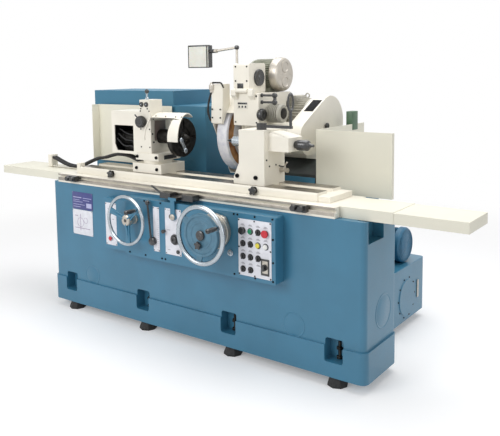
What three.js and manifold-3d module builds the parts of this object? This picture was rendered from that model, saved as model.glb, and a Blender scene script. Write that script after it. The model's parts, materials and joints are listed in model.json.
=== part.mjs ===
// Universal cylindrical grinding machine. Millimetres, +Z up, +X to the operator's right,
// -Y towards the operator. Origin on the floor, under the middle of the machine.
import * as THREE from 'three';
import { mergeVertices } from 'three/addons/utils/BufferGeometryUtils.js';
import Module from 'manifold-3d';

const wasm = await Module();
wasm.setup();

// Fits: the gap that seated faces keep, the clearance round shafts and in slides,
// and how far a cut or a joined solid runs past the face it starts from
const seat = 0.3;
const running = 0.5;
const overrun = 4;
const facets = { small: 10, medium: 16, large: 32, wheel: 48, corner: 3 };

// Sizes of the castings
const bed = {
  length: 2300, depth: 357, bottom: 50, height: 800, corner: 30, deck: 55, wall: 30,
  ribWidth: 190, plinthHeight: 160, plinthProud: 10,
};
const pocket = { count: 4, inset: 165, width: 103, height: 121, sill: 77, depth: 60, corner: 14 };
const drain = { depth: 60, front: 30, width: 170, height: 110 };
const vee = { centre: 125, halfWidth: 30, depth: 30 };
const flatWay = { front: 235, width: 50, depth: 12 };
const foot = { top: 70, bottom: 110, depth: 100, front: 15 };
const apron = {
  left: 767, length: 1075, depth: 78, below: 16, height: 350, wall: 20,
  sideLength: 210, sideDepth: 60, sideBelow: 48, sideHeight: 312, corner: 10,
};
const rearBed = {
  left: 1050, right: 1783, rear: 1250, rise: 30, wall: 40,
  railLeft: 240, railSpacing: 270, railWidth: 60, railHeight: 20, lip: 7,
};
const tank = {
  length: 338, front: 700, depth: 500, height: 335, corner: 25, coverRadius: 112, coverProud: 6,
  wall: 8, fillerRadius: 25,
};
const pumpMotor = { radius: 100, bellRadius: 108, length: 290, bell: 45, inset: 72, foot: 40, footHeight: 8 };
const cabinet = {
  clear: 86, width: 760, front: 93, depth: 400, top: 1441, wall: 4, plinthHeight: 90, plinthInset: 15,
  sideWidth: 271, sideTop: 1345, ductLeft: 190, ductWidth: 180, ductBottom: 400, ductHeight: 200,
};
const door = { inset: 45, thickness: 20, bottom: 140, handle: 14 };
const leftGuard = { left: 64, right: 7, plane: 20, height: 400, below: 98, sheet: 3, flange: 67, pad: 40 };
const rightGuard = {
  length: 457, bottom: 35, height: 350, sheet: 3, flange: 22, depth: 590, skirt: 150,
  switchDepth: 36, switchFront: 430, switchLength: 70, switchBelow: 35, switchHeight: 110,
};
const bellows = { left: 265, right: 8, front: 75, height: 140, slope: 60, pleats: 7, pleatDepth: 10 };

// Sizes of the table assembly
const lowerTable = { left: 65, length: 2074, front: -6, depth: 336, height: 56 };
const dogSlot = { height: 38, mouth: 14, mouthDepth: 10, wide: 24, wideDepth: 9 };
const cover = {
  leftLength: 685, rightLength: 631, innerLength: 278, front: 46, rear: 305, height: 53, wall: 4, step: 3,
};
const swivel = {
  pivot: 1100, left: 133, length: 1802, front: 74, depth: 250, height: 45, chamfer: 12, pinRadius: 30, pinHeight: 20,
  knobRadius: 20, knob: 24, leftKnob: -593, rightKnob: 512,
};
const channel = { width: 60, depth: 20, keyDepth: 15 };
const endPlate = { length: 70, margin: 7, height: 30 };
const post = { width: 30, depth: 40, height: 68 };
const axis = { y: 200, height: 220.7 };
const conduit = {
  width: 44, height: 22, clipX: -230, clipLength: 36, clipHeight: 62, armThickness: 6, armWidth: 24, straight: 15,
};
const workBase = {
  inset: 587, halfLength: 120, front: 105, rear: 110, height: 58, discRadius: 92, discHeight: 20,
  pinRadius: 20, pinHeight: 12,
};
const workBody = {
  plateHalf: 95, plateDepth: 100, plateHeight: 42, columnLeft: 65, columnRight: 30, halfDepth: 90,
  columnTop: 360, topLeft: 61, topRight: 21, topRear: 23, topHeight: 87, boreDepth: 70,
};
const workHousing = {
  left: 315, bottom: 108, top: 374, wall: 6, windowLeft: 289, windowRight: 121, windowBottom: 125, windowTop: 285,
  windowCorner: 40,
};
const workKnob = { x: -35, z: 314, radius: 33, length: 38, topY: -50, stemRadius: 5, stem: 46, ballRadius: 13 };
const workMotor = { left: 290, right: 112, radius: 55, height: 78, footDepth: 70 };
const hood = { radius: 148, sheet: 7, length: 140, fromDeg: -5, toDeg: 125 };
const faceplate = { radius: 117.5, thickness: 35, noseRadius: 45, overhang: 150, hubRadius: 24, hub: 12, point: 48 };
const tailstock = {
  inset: 440, flareLeft: 103, left: 66, right: 102, flareLow: 35, flareHigh: 115, height: 298,
  front: 110, rear: 90, barrelRight: 230, barrelHalf: 70, barrelBottom: 91, barrelTop: 288, boreDepth: 190,
  knobRadius: 25, knob: 95,
};
const quill = { radius: 30, overhang: 114, inside: 150, pointRadius: 18, point: 50 };
const quillLever = {
  x: 46, y: -50, hubRadius: 28, hubHeight: 34, armLength: 194, armWidth: 18, armThickness: 15,
  postRadius: 8, postHeight: 100, loopRadius: 26, loopStretchShare: 1.7, loopTube: 6,
};

// Sizes of the wheelhead
const saddle = { left: 170, right: 190, front: 160, rear: 380, height: 50 };
const head = {
  pivotX: 1450, pivotY: 800, left: 188, right: 121, front: 125, rear: 200, platform: 140,
  housingFront: 340, housingRear: 150, housingTop: 300, housingBottom: 125, chin: 30,
  blockRight: 7, blockFront: 445, blockTop: 486, ledge: 50, ledgeHeight: 30, corner: 22,
};
const sidePump = { y: -338, z: 366, radius: 55, length: 105, edge: 10 };
const sideKnob = { y: -428, z: 362, radius: 34, length: 26 };
const clampHandle = { y: -415, low: 434, spacing: 40, radius: 7, length: 88, ballRadius: 13 };
const spindle = { y: 245, radius: 30, nutRadius: 45, nut: 12, flangeRadius: 62, plateRadius: 95, plate: 8 };
const wheel = { left: 300, width: 75, radius: 227.5 };
const wheelGuard = {
  left: 325, radius: 250, sheet: 5, fromDeg: 20, toDeg: -75, holeRadius: 105, pad: 30, padHeight: 3,
  visorRight: 242, visorFront: 245, visorRear: 165, visorBottom: 86, visorTop: 318, visorLean: 14,
};
const motor = {
  y: 10, z: 299, left: 184, right: 116, radius: 142, cowlRadius: 150, cowl: 55, shield: 18, shieldRadius: 120,
  shaftRadius: 19, footDepth: 200, footInset: 40, boreDepth: 50, eyeX: 50, eyeRadius: 13, eyeTube: 4,
};
const pulley = { left: 146, width: 40, spindleRadius: 60, motorRadius: 75, rim: 4 };
const belt = { width: 28, thickness: 7 };
const beltGuard = { right: 215, frontRadius: 105, rearRadius: 160, wall: 4 };
const innerHead = {
  hingeRadius: 13, hingeOut: 15, left: 188, right: 30, front: 17, depth: 168, height: 174, corner: 14,
  discRadius: 48, discProud: 8, discY: 98, discZ: 75, knuckle: 35,
};
const innerMotor = { y: 160, left: 233, right: 63, radius: 95, bellRadius: 103, bell: 133, footHeight: 3, footDepth: 116 };
const lamp = {
  x: 290, y: -25, flangeRadius: 24, flange: 8, rodRadius: 8, height: 285, elbow: 16, reach: 175, drop: 17,
  joint: 20, jointRadius: 13, headGap: 43, headWidth: 222, headTop: 40, headBottom: 105, headDepth: 56, frame: 7,
};

// Sizes of the controls
const traverseWheel = {
  x: 78, z: 226, radius: 150, tube: 10, standoff: 72, hubRadius: 34, hub: 30, shaftRadius: 18, collarRadius: 30, collar: 12,
  spokeWidth: 34, spokeThickness: 10, spokeDeg: 38,
};
const infeedWheel = {
  x: 703, z: 238, radius: 162, tube: 13, standoff: 142, drumRadius: 96, drum: 118, discThickness: 10,
  hubRadius: 26, hub: 10, shaftRadius: 22, handleDeg: 25,
};
const grip = { radius: 14, waist: 11, length: 84, pin: 7, pinLength: 8, inset: 24 };
const shaftInside = 55;
const tableLever = { x: 233, z: 113, bossRadius: 23, boss: 25, armRadius: 6, topX: -25, topZ: 225, ballRadius: 14 };
const reverser = {
  x: 396, z: 274, bossRadius: 20, boss: 18, armWidth: 30, armThickness: 10, barLeft: 120, barRight: 127,
  barBottom: 94, barHeight: 33, barRear: 66, stopLength: 80, rodRadius: 6, rodX: -203, rodZ: 153,
};
const dog = { halfLength: 42, below: 20, above: 16, depth: 30, knobRadius: 15, knob: 22, knobSpacing: 44 };
const dogInset = { left: 165, right: 189 };
const panel = { left: 874, top: 261, columnSpacing: 48, rowSpacing: 68 };
const button = { radius: 13, length: 9, stemRadius: 8, travel: 4, stem: 24, edge: 2 };
const mushroom = { radius: 20, length: 16, edge: 6 };
const knobSize = { radius: 14, length: 8, gripWidth: 8, gripHeight: 12 };
const feedKnob = { x: 323, z: 183, radius: 11, length: 26 };
const feedDial = { x: 399, z: 144, radius: 30, length: 20 };
const mainSwitch = { x: 1013, z: 86, radius: 19, length: 8, gripWidth: 11, gripHeight: 16 };
const redButton = { x: 63, z: 65 };

// Finishes seen on the machine
const finish = {
  blue: { color: '#3d78a6', roughness: 0.38, metalness: 0 },
  cream: { color: '#efe8d6', roughness: 0.42, metalness: 0 },
  black: { color: '#1b1c1e', roughness: 0.5, metalness: 0 },
  steel: { color: '#b9bcc0', roughness: 0.28, metalness: 1 },
  iron: { color: '#6d6c66', roughness: 0.45, metalness: 1 },
  grey: { color: '#b5b9b0', roughness: 0.5, metalness: 0 },
  abrasive: { color: '#dcdfe8', roughness: 0.95, metalness: 0 },
  rubber: { color: '#222422', roughness: 0.8, metalness: 0 },
  red: { color: '#c42230', roughness: 0.35, metalness: 0 },
  green: { color: '#2f8f5f', roughness: 0.35, metalness: 0 },
  yellow: { color: '#e3d23c', roughness: 0.35, metalness: 0 },
  white: { color: '#f2f2ee', roughness: 0.35, metalness: 0 },
  brown: { color: '#43322f', roughness: 0.5, metalness: 0 },
};

// Places worked out from the sizes
const bedTop = bed.bottom + bed.height;
const tableTop = lowerTable.height + seat;
const swivelTop = swivel.height + seat;
const axisZ = bedTop + seat + tableTop + swivelTop + axis.height;
const rearTop = bedTop + rearBed.rise;
const saddleBottom = rearTop + rearBed.railHeight + seat;
const headZ = saddleBottom + saddle.height + seat;
const spindleZ = axisZ - headZ;
const apronFront = -seat - apron.depth;
const apronBottom = bedTop - apron.below - apron.height;
const sideLeft = apron.left - apron.sideLength;
const sideFront = -seat - apron.sideDepth;
const sideBottom = bedTop - apron.sideBelow - apron.sideHeight;
const cabinetLeft = rearBed.left - cabinet.clear - cabinet.sideWidth - cabinet.width;
const cabinetFront = bed.depth + cabinet.front;
const guardPlane = cabinetFront - leftGuard.plane;
const bellowsFront = bed.depth + bellows.front;
const saddleFront = head.pivotY - saddle.front;
const swivelLeft = lowerTable.left + swivel.left;
const workX = swivelLeft + workBase.inset;
const tailX = swivelLeft + swivel.length - tailstock.inset;

function pocketX(i) {
  return pocket.inset + (i * (bed.length - 2 * pocket.inset)) / (pocket.count - 1);
}

function boreRadius(shaft, sides) {
  return (shaft + running) / Math.cos(Math.PI / sides);
}

// Geometry helpers

function volumeOf(geometry) {
  const p = geometry.attributes.position;
  const index = geometry.index.array;
  const [a, b, c] = [new THREE.Vector3(), new THREE.Vector3(), new THREE.Vector3()];
  let sum = 0;
  for (let i = 0; i < index.length; i += 3) {
    a.fromBufferAttribute(p, index[i]);
    b.fromBufferAttribute(p, index[i + 1]);
    c.fromBufferAttribute(p, index[i + 2]);
    sum += a.dot(b.cross(c));
  }
  return sum;
}

// Shared vertices merged, collapsed triangles dropped and faces turned outwards
function closed(source) {
  const geometry = source.clone();
  geometry.deleteAttribute('normal');
  geometry.deleteAttribute('uv');
  const merged = mergeVertices(geometry);
  const kept = [];
  const index = merged.index.array;
  for (let i = 0; i < index.length; i += 3) {
    const [a, b, c] = [index[i], index[i + 1], index[i + 2]];
    if (a !== b && b !== c && c !== a) kept.push(a, b, c);
  }
  merged.setIndex(kept);
  if (volumeOf(merged) < 0) {
    for (let i = 0; i < kept.length; i += 3) [kept[i + 1], kept[i + 2]] = [kept[i + 2], kept[i + 1]];
    merged.setIndex(kept);
  }
  return merged;
}

function solid(geometry) {
  const merged = closed(geometry);
  const vertProperties = new Float32Array(merged.attributes.position.array);
  const triVerts = new Uint32Array(merged.index.array);
  return new wasm.Manifold(new wasm.Mesh({ numProp: 3, vertProperties, triVerts }));
}

function fromSolid(body) {
  const mesh = body.getMesh();
  const geometry = new THREE.BufferGeometry();
  geometry.setAttribute('position', new THREE.BufferAttribute(new Float32Array(mesh.vertProperties), 3));
  geometry.setIndex(Array.from(mesh.triVerts));
  return geometry;
}

function join(...shapes) {
  return fromSolid(shapes.map(solid).reduce((a, b) => a.add(b)));
}

function cut(shape, ...tools) {
  return fromSolid(tools.map(solid).reduce((a, b) => a.subtract(b), solid(shape)));
}

function block(x0, x1, y0, y1, z0, z1) {
  const geometry = new THREE.BoxGeometry(x1 - x0, y1 - y0, z1 - z0);
  return geometry.translate((x0 + x1) / 2, (y0 + y1) / 2, (z0 + z1) / 2);
}

// An outline of [across, up] points as a shape
function outline(points) {
  return new THREE.Shape(points.map(([u, v]) => new THREE.Vector2(u, v)));
}

function roundedOutline(u0, u1, v0, v1, r) {
  const shape = new THREE.Shape();
  shape.absarc(u1 - r, v0 + r, r, -Math.PI / 2, 0);
  shape.absarc(u1 - r, v1 - r, r, 0, Math.PI / 2);
  shape.absarc(u0 + r, v1 - r, r, Math.PI / 2, Math.PI);
  shape.absarc(u0 + r, v0 + r, r, Math.PI, (3 * Math.PI) / 2);
  return shape;
}

function extrude(shape, length, sides = facets.corner) {
  return new THREE.ExtrudeGeometry(shape, { depth: length, bevelEnabled: false, curveSegments: sides });
}

// Bars of one outline: its plane is YZ, XZ or XY, and it runs along the axis named
function barX(shape, x0, x1, sides) {
  const turn = new THREE.Matrix4().makeBasis(
    new THREE.Vector3(0, 1, 0), new THREE.Vector3(0, 0, 1), new THREE.Vector3(1, 0, 0),
  );
  return extrude(shape, x1 - x0, sides).applyMatrix4(turn).translate(x0, 0, 0);
}

function barY(shape, y0, y1, sides) {
  return extrude(shape, y1 - y0, sides).rotateX(Math.PI / 2).translate(0, y1, 0);
}

function barZ(shape, z0, z1, sides) {
  return extrude(shape, z1 - z0, sides).translate(0, 0, z0);
}

// A turned solid from [radius, height] points, its height along the direction named
function turned(points, direction, sides = facets.medium) {
  const geometry = new THREE.LatheGeometry(points.map(([r, h]) => new THREE.Vector2(r, h)), sides);
  if (direction === 'right') geometry.rotateZ(-Math.PI / 2);
  if (direction === 'up') geometry.rotateX(Math.PI / 2);
  if (direction === 'front') geometry.rotateX(Math.PI);
  return geometry;
}

function rod(radius, h0, h1, direction, sides = facets.medium) {
  return turned([[0, h0], [radius, h0], [radius, h1], [0, h1]], direction, sides);
}

function ring(radius, tube, direction, sides, tubeSides = 8) {
  const points = [];
  for (let i = 0; i <= tubeSides; i++) {
    const turn = (2 * Math.PI * (i % tubeSides)) / tubeSides;
    points.push([radius + tube * Math.cos(turn), tube * Math.sin(turn)]);
  }
  return turned(points, direction, sides);
}

function rodBetween(from, to, radius, sides = facets.small) {
  const a = new THREE.Vector3(...from);
  const b = new THREE.Vector3(...to);
  const geometry = new THREE.CylinderGeometry(radius, radius, a.distanceTo(b), sides);
  const turn = new THREE.Quaternion().setFromUnitVectors(
    new THREE.Vector3(0, 1, 0), b.clone().sub(a).normalize(),
  );
  return geometry.applyQuaternion(turn).translate(...a.add(b).multiplyScalar(0.5).toArray());
}

// The outline round two circles and the straight lines that touch both
function beltOutline(y0, z0, r0, y1, z1, r1) {
  const along = Math.atan2(z1 - z0, y1 - y0);
  const lean = Math.acos((r0 - r1) / Math.hypot(y1 - y0, z1 - z0));
  const shape = new THREE.Shape();
  shape.absarc(y1, z1, r1, along - lean, along + lean);
  shape.absarc(y0, z0, r0, along + lean, along - lean + 2 * Math.PI);
  return shape;
}

function add(parent, name, look, geometry, x = 0, y = 0, z = 0) {
  const mesh = new THREE.Mesh(closed(geometry), new THREE.MeshStandardMaterial(look));
  mesh.name = name;
  mesh.position.set(x, y, z);
  parent.add(mesh);
  return mesh;
}

function group(parent, x, y, z) {
  const node = new THREE.Group();
  node.position.set(x, y, z);
  parent.add(node);
  return node;
}

// Castings and fixed pieces

// The hollow bed: plinth, pockets for the levelling screws, drain recess and two slideways
function bedCasting() {
  const body = barZ(roundedOutline(0, bed.length, 0, bed.depth, bed.corner), 0, bed.height);
  const proud = bed.plinthProud;
  const plinth = barZ(
    roundedOutline(-proud, bed.length + proud, -proud, bed.depth, bed.corner + proud), 0, bed.plinthHeight,
  );
  const cuts = [];
  for (let i = 0; i < pocket.count; i++) {
    const x = pocketX(i) - pocket.width / 2;
    const mouth = roundedOutline(x, x + pocket.width, pocket.sill, pocket.sill + pocket.height, pocket.corner);
    cuts.push(barY(mouth, -proud - overrun, pocket.depth));
  }
  for (let i = 1; i < pocket.count; i++) {
    const x0 = pocketX(i - 1) + bed.ribWidth / 2;
    const x1 = pocketX(i) - bed.ribWidth / 2;
    cuts.push(block(x0, x1, bed.wall, bed.depth - bed.wall, -overrun, bed.height - bed.deck));
  }
  cuts.push(block(
    bed.length - drain.depth, bed.length + overrun, drain.front, drain.front + drain.width,
    bed.height - drain.height, bed.height + overrun,
  ));
  cuts.push(barX(outline([
    [vee.centre - vee.halfWidth - overrun, bed.height + overrun],
    [vee.centre, bed.height - vee.depth],
    [vee.centre + vee.halfWidth + overrun, bed.height + overrun],
  ]), -overrun, bed.length + overrun));
  cuts.push(block(
    -overrun, bed.length + overrun, flatWay.front, flatWay.front + flatWay.width,
    bed.height - flatWay.depth, bed.height + overrun,
  ));
  return cut(join(body, plinth), ...cuts);
}

// The hollow rear casting that carries the wheelhead on two rails
function rearBedCasting() {
  const front = bed.depth + seat;
  const height = bed.height + rearBed.rise;
  const railX = [0, rearBed.railSpacing].map((x) => rearBed.left + rearBed.railLeft + x);
  const rails = railX.map((x) => block(
    x, x + rearBed.railWidth, saddleFront - bed.depth / 2, rearBed.rear - overrun,
    height - overrun, height + rearBed.railHeight,
  ));
  const lip = block(
    rearBed.left + bellows.left, rearBed.right - bellows.right, bellowsFront - seat - rearBed.lip, bellowsFront - seat,
    height - overrun, height + bellows.height - bellows.slope,
  );
  const cavity = block(
    rearBed.left + rearBed.wall, rearBed.right - rearBed.wall, front + rearBed.wall,
    rearBed.rear - rearBed.wall, -overrun, height - rearBed.wall,
  );
  const body = block(rearBed.left, rearBed.right, front, rearBed.rear, 0, height);
  return cut(join(body, lip, ...rails), cavity);
}

// The hydraulic oil tank with the round cover on its right side
function oilTank() {
  const shell = barZ(
    roundedOutline(0, tank.length, tank.front, tank.front + tank.depth, tank.corner), 0, tank.height,
  );
  const disc = rod(tank.coverRadius, -tank.wall / 2, tank.coverProud, 'right', facets.large);
  disc.translate(tank.length, tank.front + tank.depth / 2 - tank.corner, tank.height / 2 - tank.corner);
  const inside = block(
    tank.wall, tank.length - tank.wall, tank.front + tank.wall, tank.front + tank.depth - tank.wall,
    tank.wall, tank.height - tank.wall,
  );
  const filler = rod(tank.fillerRadius, tank.height - tank.wall - overrun, tank.height + overrun, 'up');
  filler.translate(3 * tank.fillerRadius, tank.front + 3 * tank.fillerRadius, 0);
  return cut(join(shell, disc), inside, filler);
}

function pumpMotorBody() {
  const { radius, bellRadius, length, bell, foot: depth } = pumpMotor;
  const body = turned([
    [0, -length], [radius - bell / 4, -length], [radius, -length + bell / 4], [radius, -bell], [bellRadius, -bell],
    [bellRadius, -bell / 4], [bellRadius - bell / 2, 0], [0, 0],
  ], 'right', facets.large);
  const base = block(bell - length, -bell, -depth, depth, -radius - pumpMotor.footHeight, -radius / 2);
  return join(body, base);
}

function levellingFoot() {
  const bottom = foot.bottom / 2;
  const top = foot.top / 2;
  const height = bed.bottom - seat;
  const side = outline([[-bottom, 0], [bottom, 0], [bottom, height / 3], [top, height], [-top, height], [-bottom, height / 3]]);
  return barY(side, 0, foot.depth);
}

// Every hole in the apron's front for a control's stem or shaft, as [x, z, radius, sides]
function apronHoles() {
  const stem = boreRadius(button.stemRadius, facets.small);
  const holes = panelControls().map(({ column, row }) => [columnX(column), rowZ(row), stem]);
  for (const { x, z } of [mainSwitch, feedKnob, feedDial, tableLever, reverser]) {
    holes.push([apron.left + x, apronBottom + z, stem]);
  }
  for (const { x, z, shaftRadius } of [traverseWheel, infeedWheel]) {
    holes.push([apron.left + x, apronBottom + z, boreRadius(shaftRadius, facets.small)]);
  }
  return holes;
}

// The control apron on the bed's front: the deep box and the shallower one at its left
function apronBox() {
  const { left, length, height, wall } = apron;
  const bottom = apronBottom;
  const box = barY(roundedOutline(left, left + length, bottom, bottom + height, apron.corner), apronFront, -seat);
  const side = barY(roundedOutline(
    sideLeft, left + wall, sideBottom, sideBottom + apron.sideHeight, apron.corner,
  ), sideFront, -seat);
  const cavity = block(
    left + wall, left + length - wall, apronFront + wall, overrun, bottom + wall, bottom + height - wall,
  );
  const sideCavity = block(
    sideLeft + wall, left - wall, sideFront + wall, overrun,
    sideBottom + wall, sideBottom + apron.sideHeight - wall,
  );
  const holes = apronHoles().map(([x, z, radius]) => (
    rod(radius, 0, wall + 2 * overrun, 'back', facets.small).translate(x, apronFront - overrun, z)
  ));
  const redHole = rod(boreRadius(button.stemRadius, facets.small), 0, wall + 2 * overrun, 'back', facets.small);
  redHole.translate(sideLeft + redButton.x, sideFront - overrun, sideBottom + redButton.z);
  return cut(join(box, side), cavity, sideCavity, redHole, ...holes);
}

// The electrical cabinet, its lower extension and the duct that ties it to the bed
function cabinetShell() {
  const { width, depth, top, wall, plinthHeight: plinth, plinthInset: inset } = cabinet;
  const [left, front] = [cabinetLeft, cabinetFront];
  const rear = front + depth;
  const right = left + width + cabinet.sideWidth;
  const tall = block(left, left + width, front, rear, plinth - overrun, top);
  const low = block(left + width - overrun, right, front, rear, plinth - overrun, cabinet.sideTop);
  const base = block(left + inset, right - inset, front + inset, rear - inset, 0, plinth);
  const ductX = left + cabinet.ductLeft;
  const duct = block(
    ductX, ductX + cabinet.ductWidth, bed.depth + seat, front + overrun,
    cabinet.ductBottom, cabinet.ductBottom + cabinet.ductHeight,
  );
  const floor = plinth + wall;
  const inside = block(left + wall, left + width - wall, front + wall, rear - wall, floor, top - wall);
  const lowInside = block(
    left + width - wall - overrun, right - wall, front + wall, rear - wall, floor, cabinet.sideTop - wall,
  );
  const doorway = block(
    left + door.inset, left + width - door.inset, rear - wall - overrun, rear + overrun, door.bottom, top - door.inset,
  );
  const underside = block(
    left + inset + wall, right - inset - wall, front + inset + wall, rear - inset - wall, -overrun, plinth - overrun,
  );
  return cut(join(tall, low, base, duct), inside, lowInside, doorway, underside);
}

// The cabinet's rear door, its origin on the hinge line
function cabinetDoorLeaf() {
  const width = cabinet.width - door.inset;
  const height = cabinet.top - door.bottom;
  const plate = block(0, width, seat, seat + door.thickness, 0, height);
  const sheet = cabinet.wall;
  const leaf = cut(plate, block(sheet, width - sheet, seat - overrun, door.thickness - sheet, sheet, height - sheet));
  const handle = rod(door.handle, door.thickness, door.thickness + door.inset / 2, 'back');
  handle.translate(width - door.inset, 0, height / 2);
  return join(leaf, handle);
}

// The left splash guard: a sheet with a flange that comes forward, on pads from the cabinet
function leftSplashGuard() {
  const { height, below, sheet, flange, pad } = leftGuard;
  const left = cabinetLeft + leftGuard.left;
  const right = cabinetLeft + cabinet.width + leftGuard.right;
  const plane = guardPlane;
  const top = cabinet.top - below;
  const bottom = top - height;
  const plate = block(left, right, plane - sheet, plane, bottom, top);
  const side = block(left, left + sheet, plane - flange, plane - sheet / 2, bottom, top);
  const pads = [];
  for (const x of [left + pad, right - 2 * pad]) {
    for (const z of [bottom + pad, top - 2 * pad]) {
      pads.push(block(x, x + pad, plane - sheet / 2, cabinetFront - seat, z, z + pad));
    }
  }
  return join(plate, side, ...pads);
}

// The right splash guard: a sheet behind the table, one that runs back beside the wheelhead
// and the limit switch's box on it
function rightSplashGuard() {
  const { sheet, flange, switchDepth, switchFront } = rightGuard;
  const left = rearBed.right + seat;
  const right = rearBed.right + rightGuard.length;
  const bottom = bedTop + rightGuard.bottom;
  const top = bottom + rightGuard.height;
  const plane = guardPlane;
  const plate = block(left, right, plane - sheet, plane, bottom, top);
  const returned = block(right - sheet, right, plane - overrun / 2, plane + flange, bottom, top);
  const side = block(left, left + sheet, plane - overrun / 2, plane + rightGuard.depth, bedTop - rightGuard.skirt, top);
  const boxTop = top - rightGuard.switchBelow + rightGuard.switchHeight;
  const switchBox = block(
    left - switchDepth, left + sheet / 2, plane + switchFront, plane + switchFront + rightGuard.switchLength,
    top - rightGuard.switchBelow, boxTop,
  );
  return join(plate, returned, side, switchBox);
}

// The pleated rubber cover in front of the cross slide
function bellowsBlock() {
  const { left, right, height, slope, pleats, pleatDepth } = bellows;
  const length = saddleFront - seat - bellowsFront;
  const pitch = length / pleats;
  const side = [[0, 0], [length, 0]];
  for (let i = pleats; i > 0; i--) {
    const lift = (height - slope) + (slope * i) / pleats;
    const low = lift - slope / pleats - pleatDepth;
    side.push([i * pitch, lift - pleatDepth], [(i - 0.5) * pitch, lift], [(i - 1) * pitch, low]);
  }
  side.pop();
  side.push([0, height - slope - pleatDepth]);
  return barX(outline(side), rearBed.left + left, rearBed.right - right);
}

// Table assembly

// The lower table: ribs that ride in the bed's ways, the dog slot and the swivel pin
function lowerTableBody() {
  const { length, front, depth, height } = lowerTable;
  const rear = front + depth;
  const mouth = dogSlot.mouth / 2;
  const wide = dogSlot.wide / 2;
  const [y1, y2] = [front + dogSlot.mouthDepth, front + dogSlot.mouthDepth + dogSlot.wideDepth];
  const z = dogSlot.height;
  const section = outline([
    [front, 0], [rear, 0], [rear, height], [front, height], [front, z + mouth], [y1, z + mouth], [y1, z + wide],
    [y2, z + wide], [y2, z - wide], [y1, z - wide], [y1, z - mouth], [front, z - mouth],
  ]);
  const veeRib = outline([
    [vee.centre - vee.halfWidth + running, 0], [vee.centre, -vee.depth + 2 * running],
    [vee.centre + vee.halfWidth - running, 0], [vee.centre, overrun],
  ]);
  const flatRib = block(
    0, length, flatWay.front + running, flatWay.front + flatWay.width - running, running - flatWay.depth, overrun,
  );
  const pin = rod(swivel.pinRadius, height - overrun, height + swivel.pinHeight, 'up');
  return join(barX(section, 0, length), barX(veeRib, 0, length), flatRib, pin.translate(swivel.pivot - lowerTable.left, axis.y, 0));
}

// The left way cover: a sheet lid, open below
function leftCoverShell() {
  const { front, rear, height, wall, leftLength } = cover;
  const lid = block(-leftLength, -seat, front, rear, 0, height);
  const inside = block(wall - leftLength, -seat - wall, front + wall, rear - wall, -overrun, height - wall);
  return cut(lid, inside);
}

// The right way cover: two lengths, the inner one a step larger
function rightCoverShell() {
  const { front, rear, height, wall, step, innerLength, rightLength } = cover;
  const inner = block(0, innerLength, front - step, rear + step, 0, height + step);
  const outer = block(innerLength - overrun, rightLength, front, rear, 0, height);
  const inside = block(wall, rightLength - wall, front + wall, rear - wall, -overrun, height - wall);
  return cut(join(inner, outer), inside);
}

// The swivel table with its clamping channel, end plate, left post, conduit arm and front knobs; origin on its pin
function swivelTableBody() {
  const x0 = swivelLeft - swivel.pivot;
  const x1 = x0 + swivel.length;
  const y0 = lowerTable.front + swivel.front - axis.y;
  const y1 = y0 + swivel.depth;
  const section = outline([
    [y0, 0], [y1, 0], [y1, swivel.height], [channel.width / 2, swivel.height],
    [channel.width / 2, swivel.height - channel.depth], [-channel.width / 2, swivel.height - channel.depth],
    [-channel.width / 2, swivel.height], [y0 + swivel.chamfer / 2, swivel.height], [y0, swivel.height - swivel.chamfer],
  ]);
  const plate = block(x1 - overrun, x1 + endPlate.length, y0 + endPlate.margin, y1 - endPlate.margin, 0, endPlate.height);
  const leftPost = block(x0 - post.width, x0 + overrun, y0, y0 + post.depth, 0, post.height);
  const armEnd = conduit.clipX - swivel.pivot;
  const arm = block(
    armEnd - conduit.clipLength, x0 + overrun, -conduit.armWidth / 2, conduit.armWidth / 2, 0, conduit.armThickness,
  );
  const clip = block(
    armEnd - conduit.clipLength, armEnd, -conduit.width / 2 - conduit.armThickness,
    conduit.width / 2 + conduit.armThickness, 0, conduit.clipHeight + conduit.height,
  );
  const knobs = [swivel.leftKnob, swivel.rightKnob].map((x) => (
    rod(swivel.knobRadius, -overrun, swivel.knob, 'front', facets.small).translate(x, y0, swivel.height / 2)
  ));
  const hole = rod(boreRadius(swivel.pinRadius, facets.medium), -overrun, swivel.pinHeight + seat, 'up');
  return cut(join(barX(section, x0, x1), plate, leftPost, arm, clip, ...knobs), hole);
}

// The black twin conduit from the clip at the table's left end to the workhead's base
function conduitTube() {
  const r = conduit.height / 2;
  const half = conduit.width / 2 - r;
  const section = new THREE.Shape();
  section.absarc(half, 0, r, -Math.PI / 2, Math.PI / 2);
  section.absarc(-half, 0, r, Math.PI / 2, (3 * Math.PI) / 2);
  const end = workX - workBase.halfLength - swivel.pivot - seat;
  const start = conduit.clipX - swivel.pivot + seat;
  const points = [
    [start, 62], [start + conduit.straight, 62], [-1250, 41], [-1180, 23], [-1100, 17.5], [-1030, 27], [-940, 62], [-862, 88],
    [-800, 98], [-740, 114], [-680, 127], [-620, 130], [-560, 124], [-500, 107], [end - conduit.straight, 90], [end, 90],
  ];
  const path = new THREE.CatmullRomCurve3(points.map(([x, z]) => new THREE.Vector3(x, 0, z)), false, 'centripetal');
  return new THREE.ExtrudeGeometry(section, { steps: 34, curveSegments: 4, extrudePath: path });
}

// A trip dog clamped in the table's front slot, its origin on the slot at the table's face
function tripDog() {
  const { halfLength, below, above, depth, knobRadius, knob, knobSpacing } = dog;
  const body = block(-halfLength, halfLength, -depth, -seat, -below, above);
  const neck = dogSlot.mouth / 2 - running;
  const tongue = block(
    -halfLength, halfLength, -overrun, dogSlot.mouthDepth + overrun, -neck, neck,
  );
  const headHalf = dogSlot.wide / 2 - running;
  const tee = block(
    -halfLength, halfLength, dogSlot.mouthDepth + running, dogSlot.mouthDepth + dogSlot.wideDepth - running,
    -headHalf, headHalf,
  );
  const knobs = [-0.5, 0.5].map((share) => rod(knobRadius, depth - overrun, depth + knob, 'front', facets.small)
    .translate(share * knobSpacing, 0, 0));
  return join(body, tongue, tee, ...knobs);
}

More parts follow.
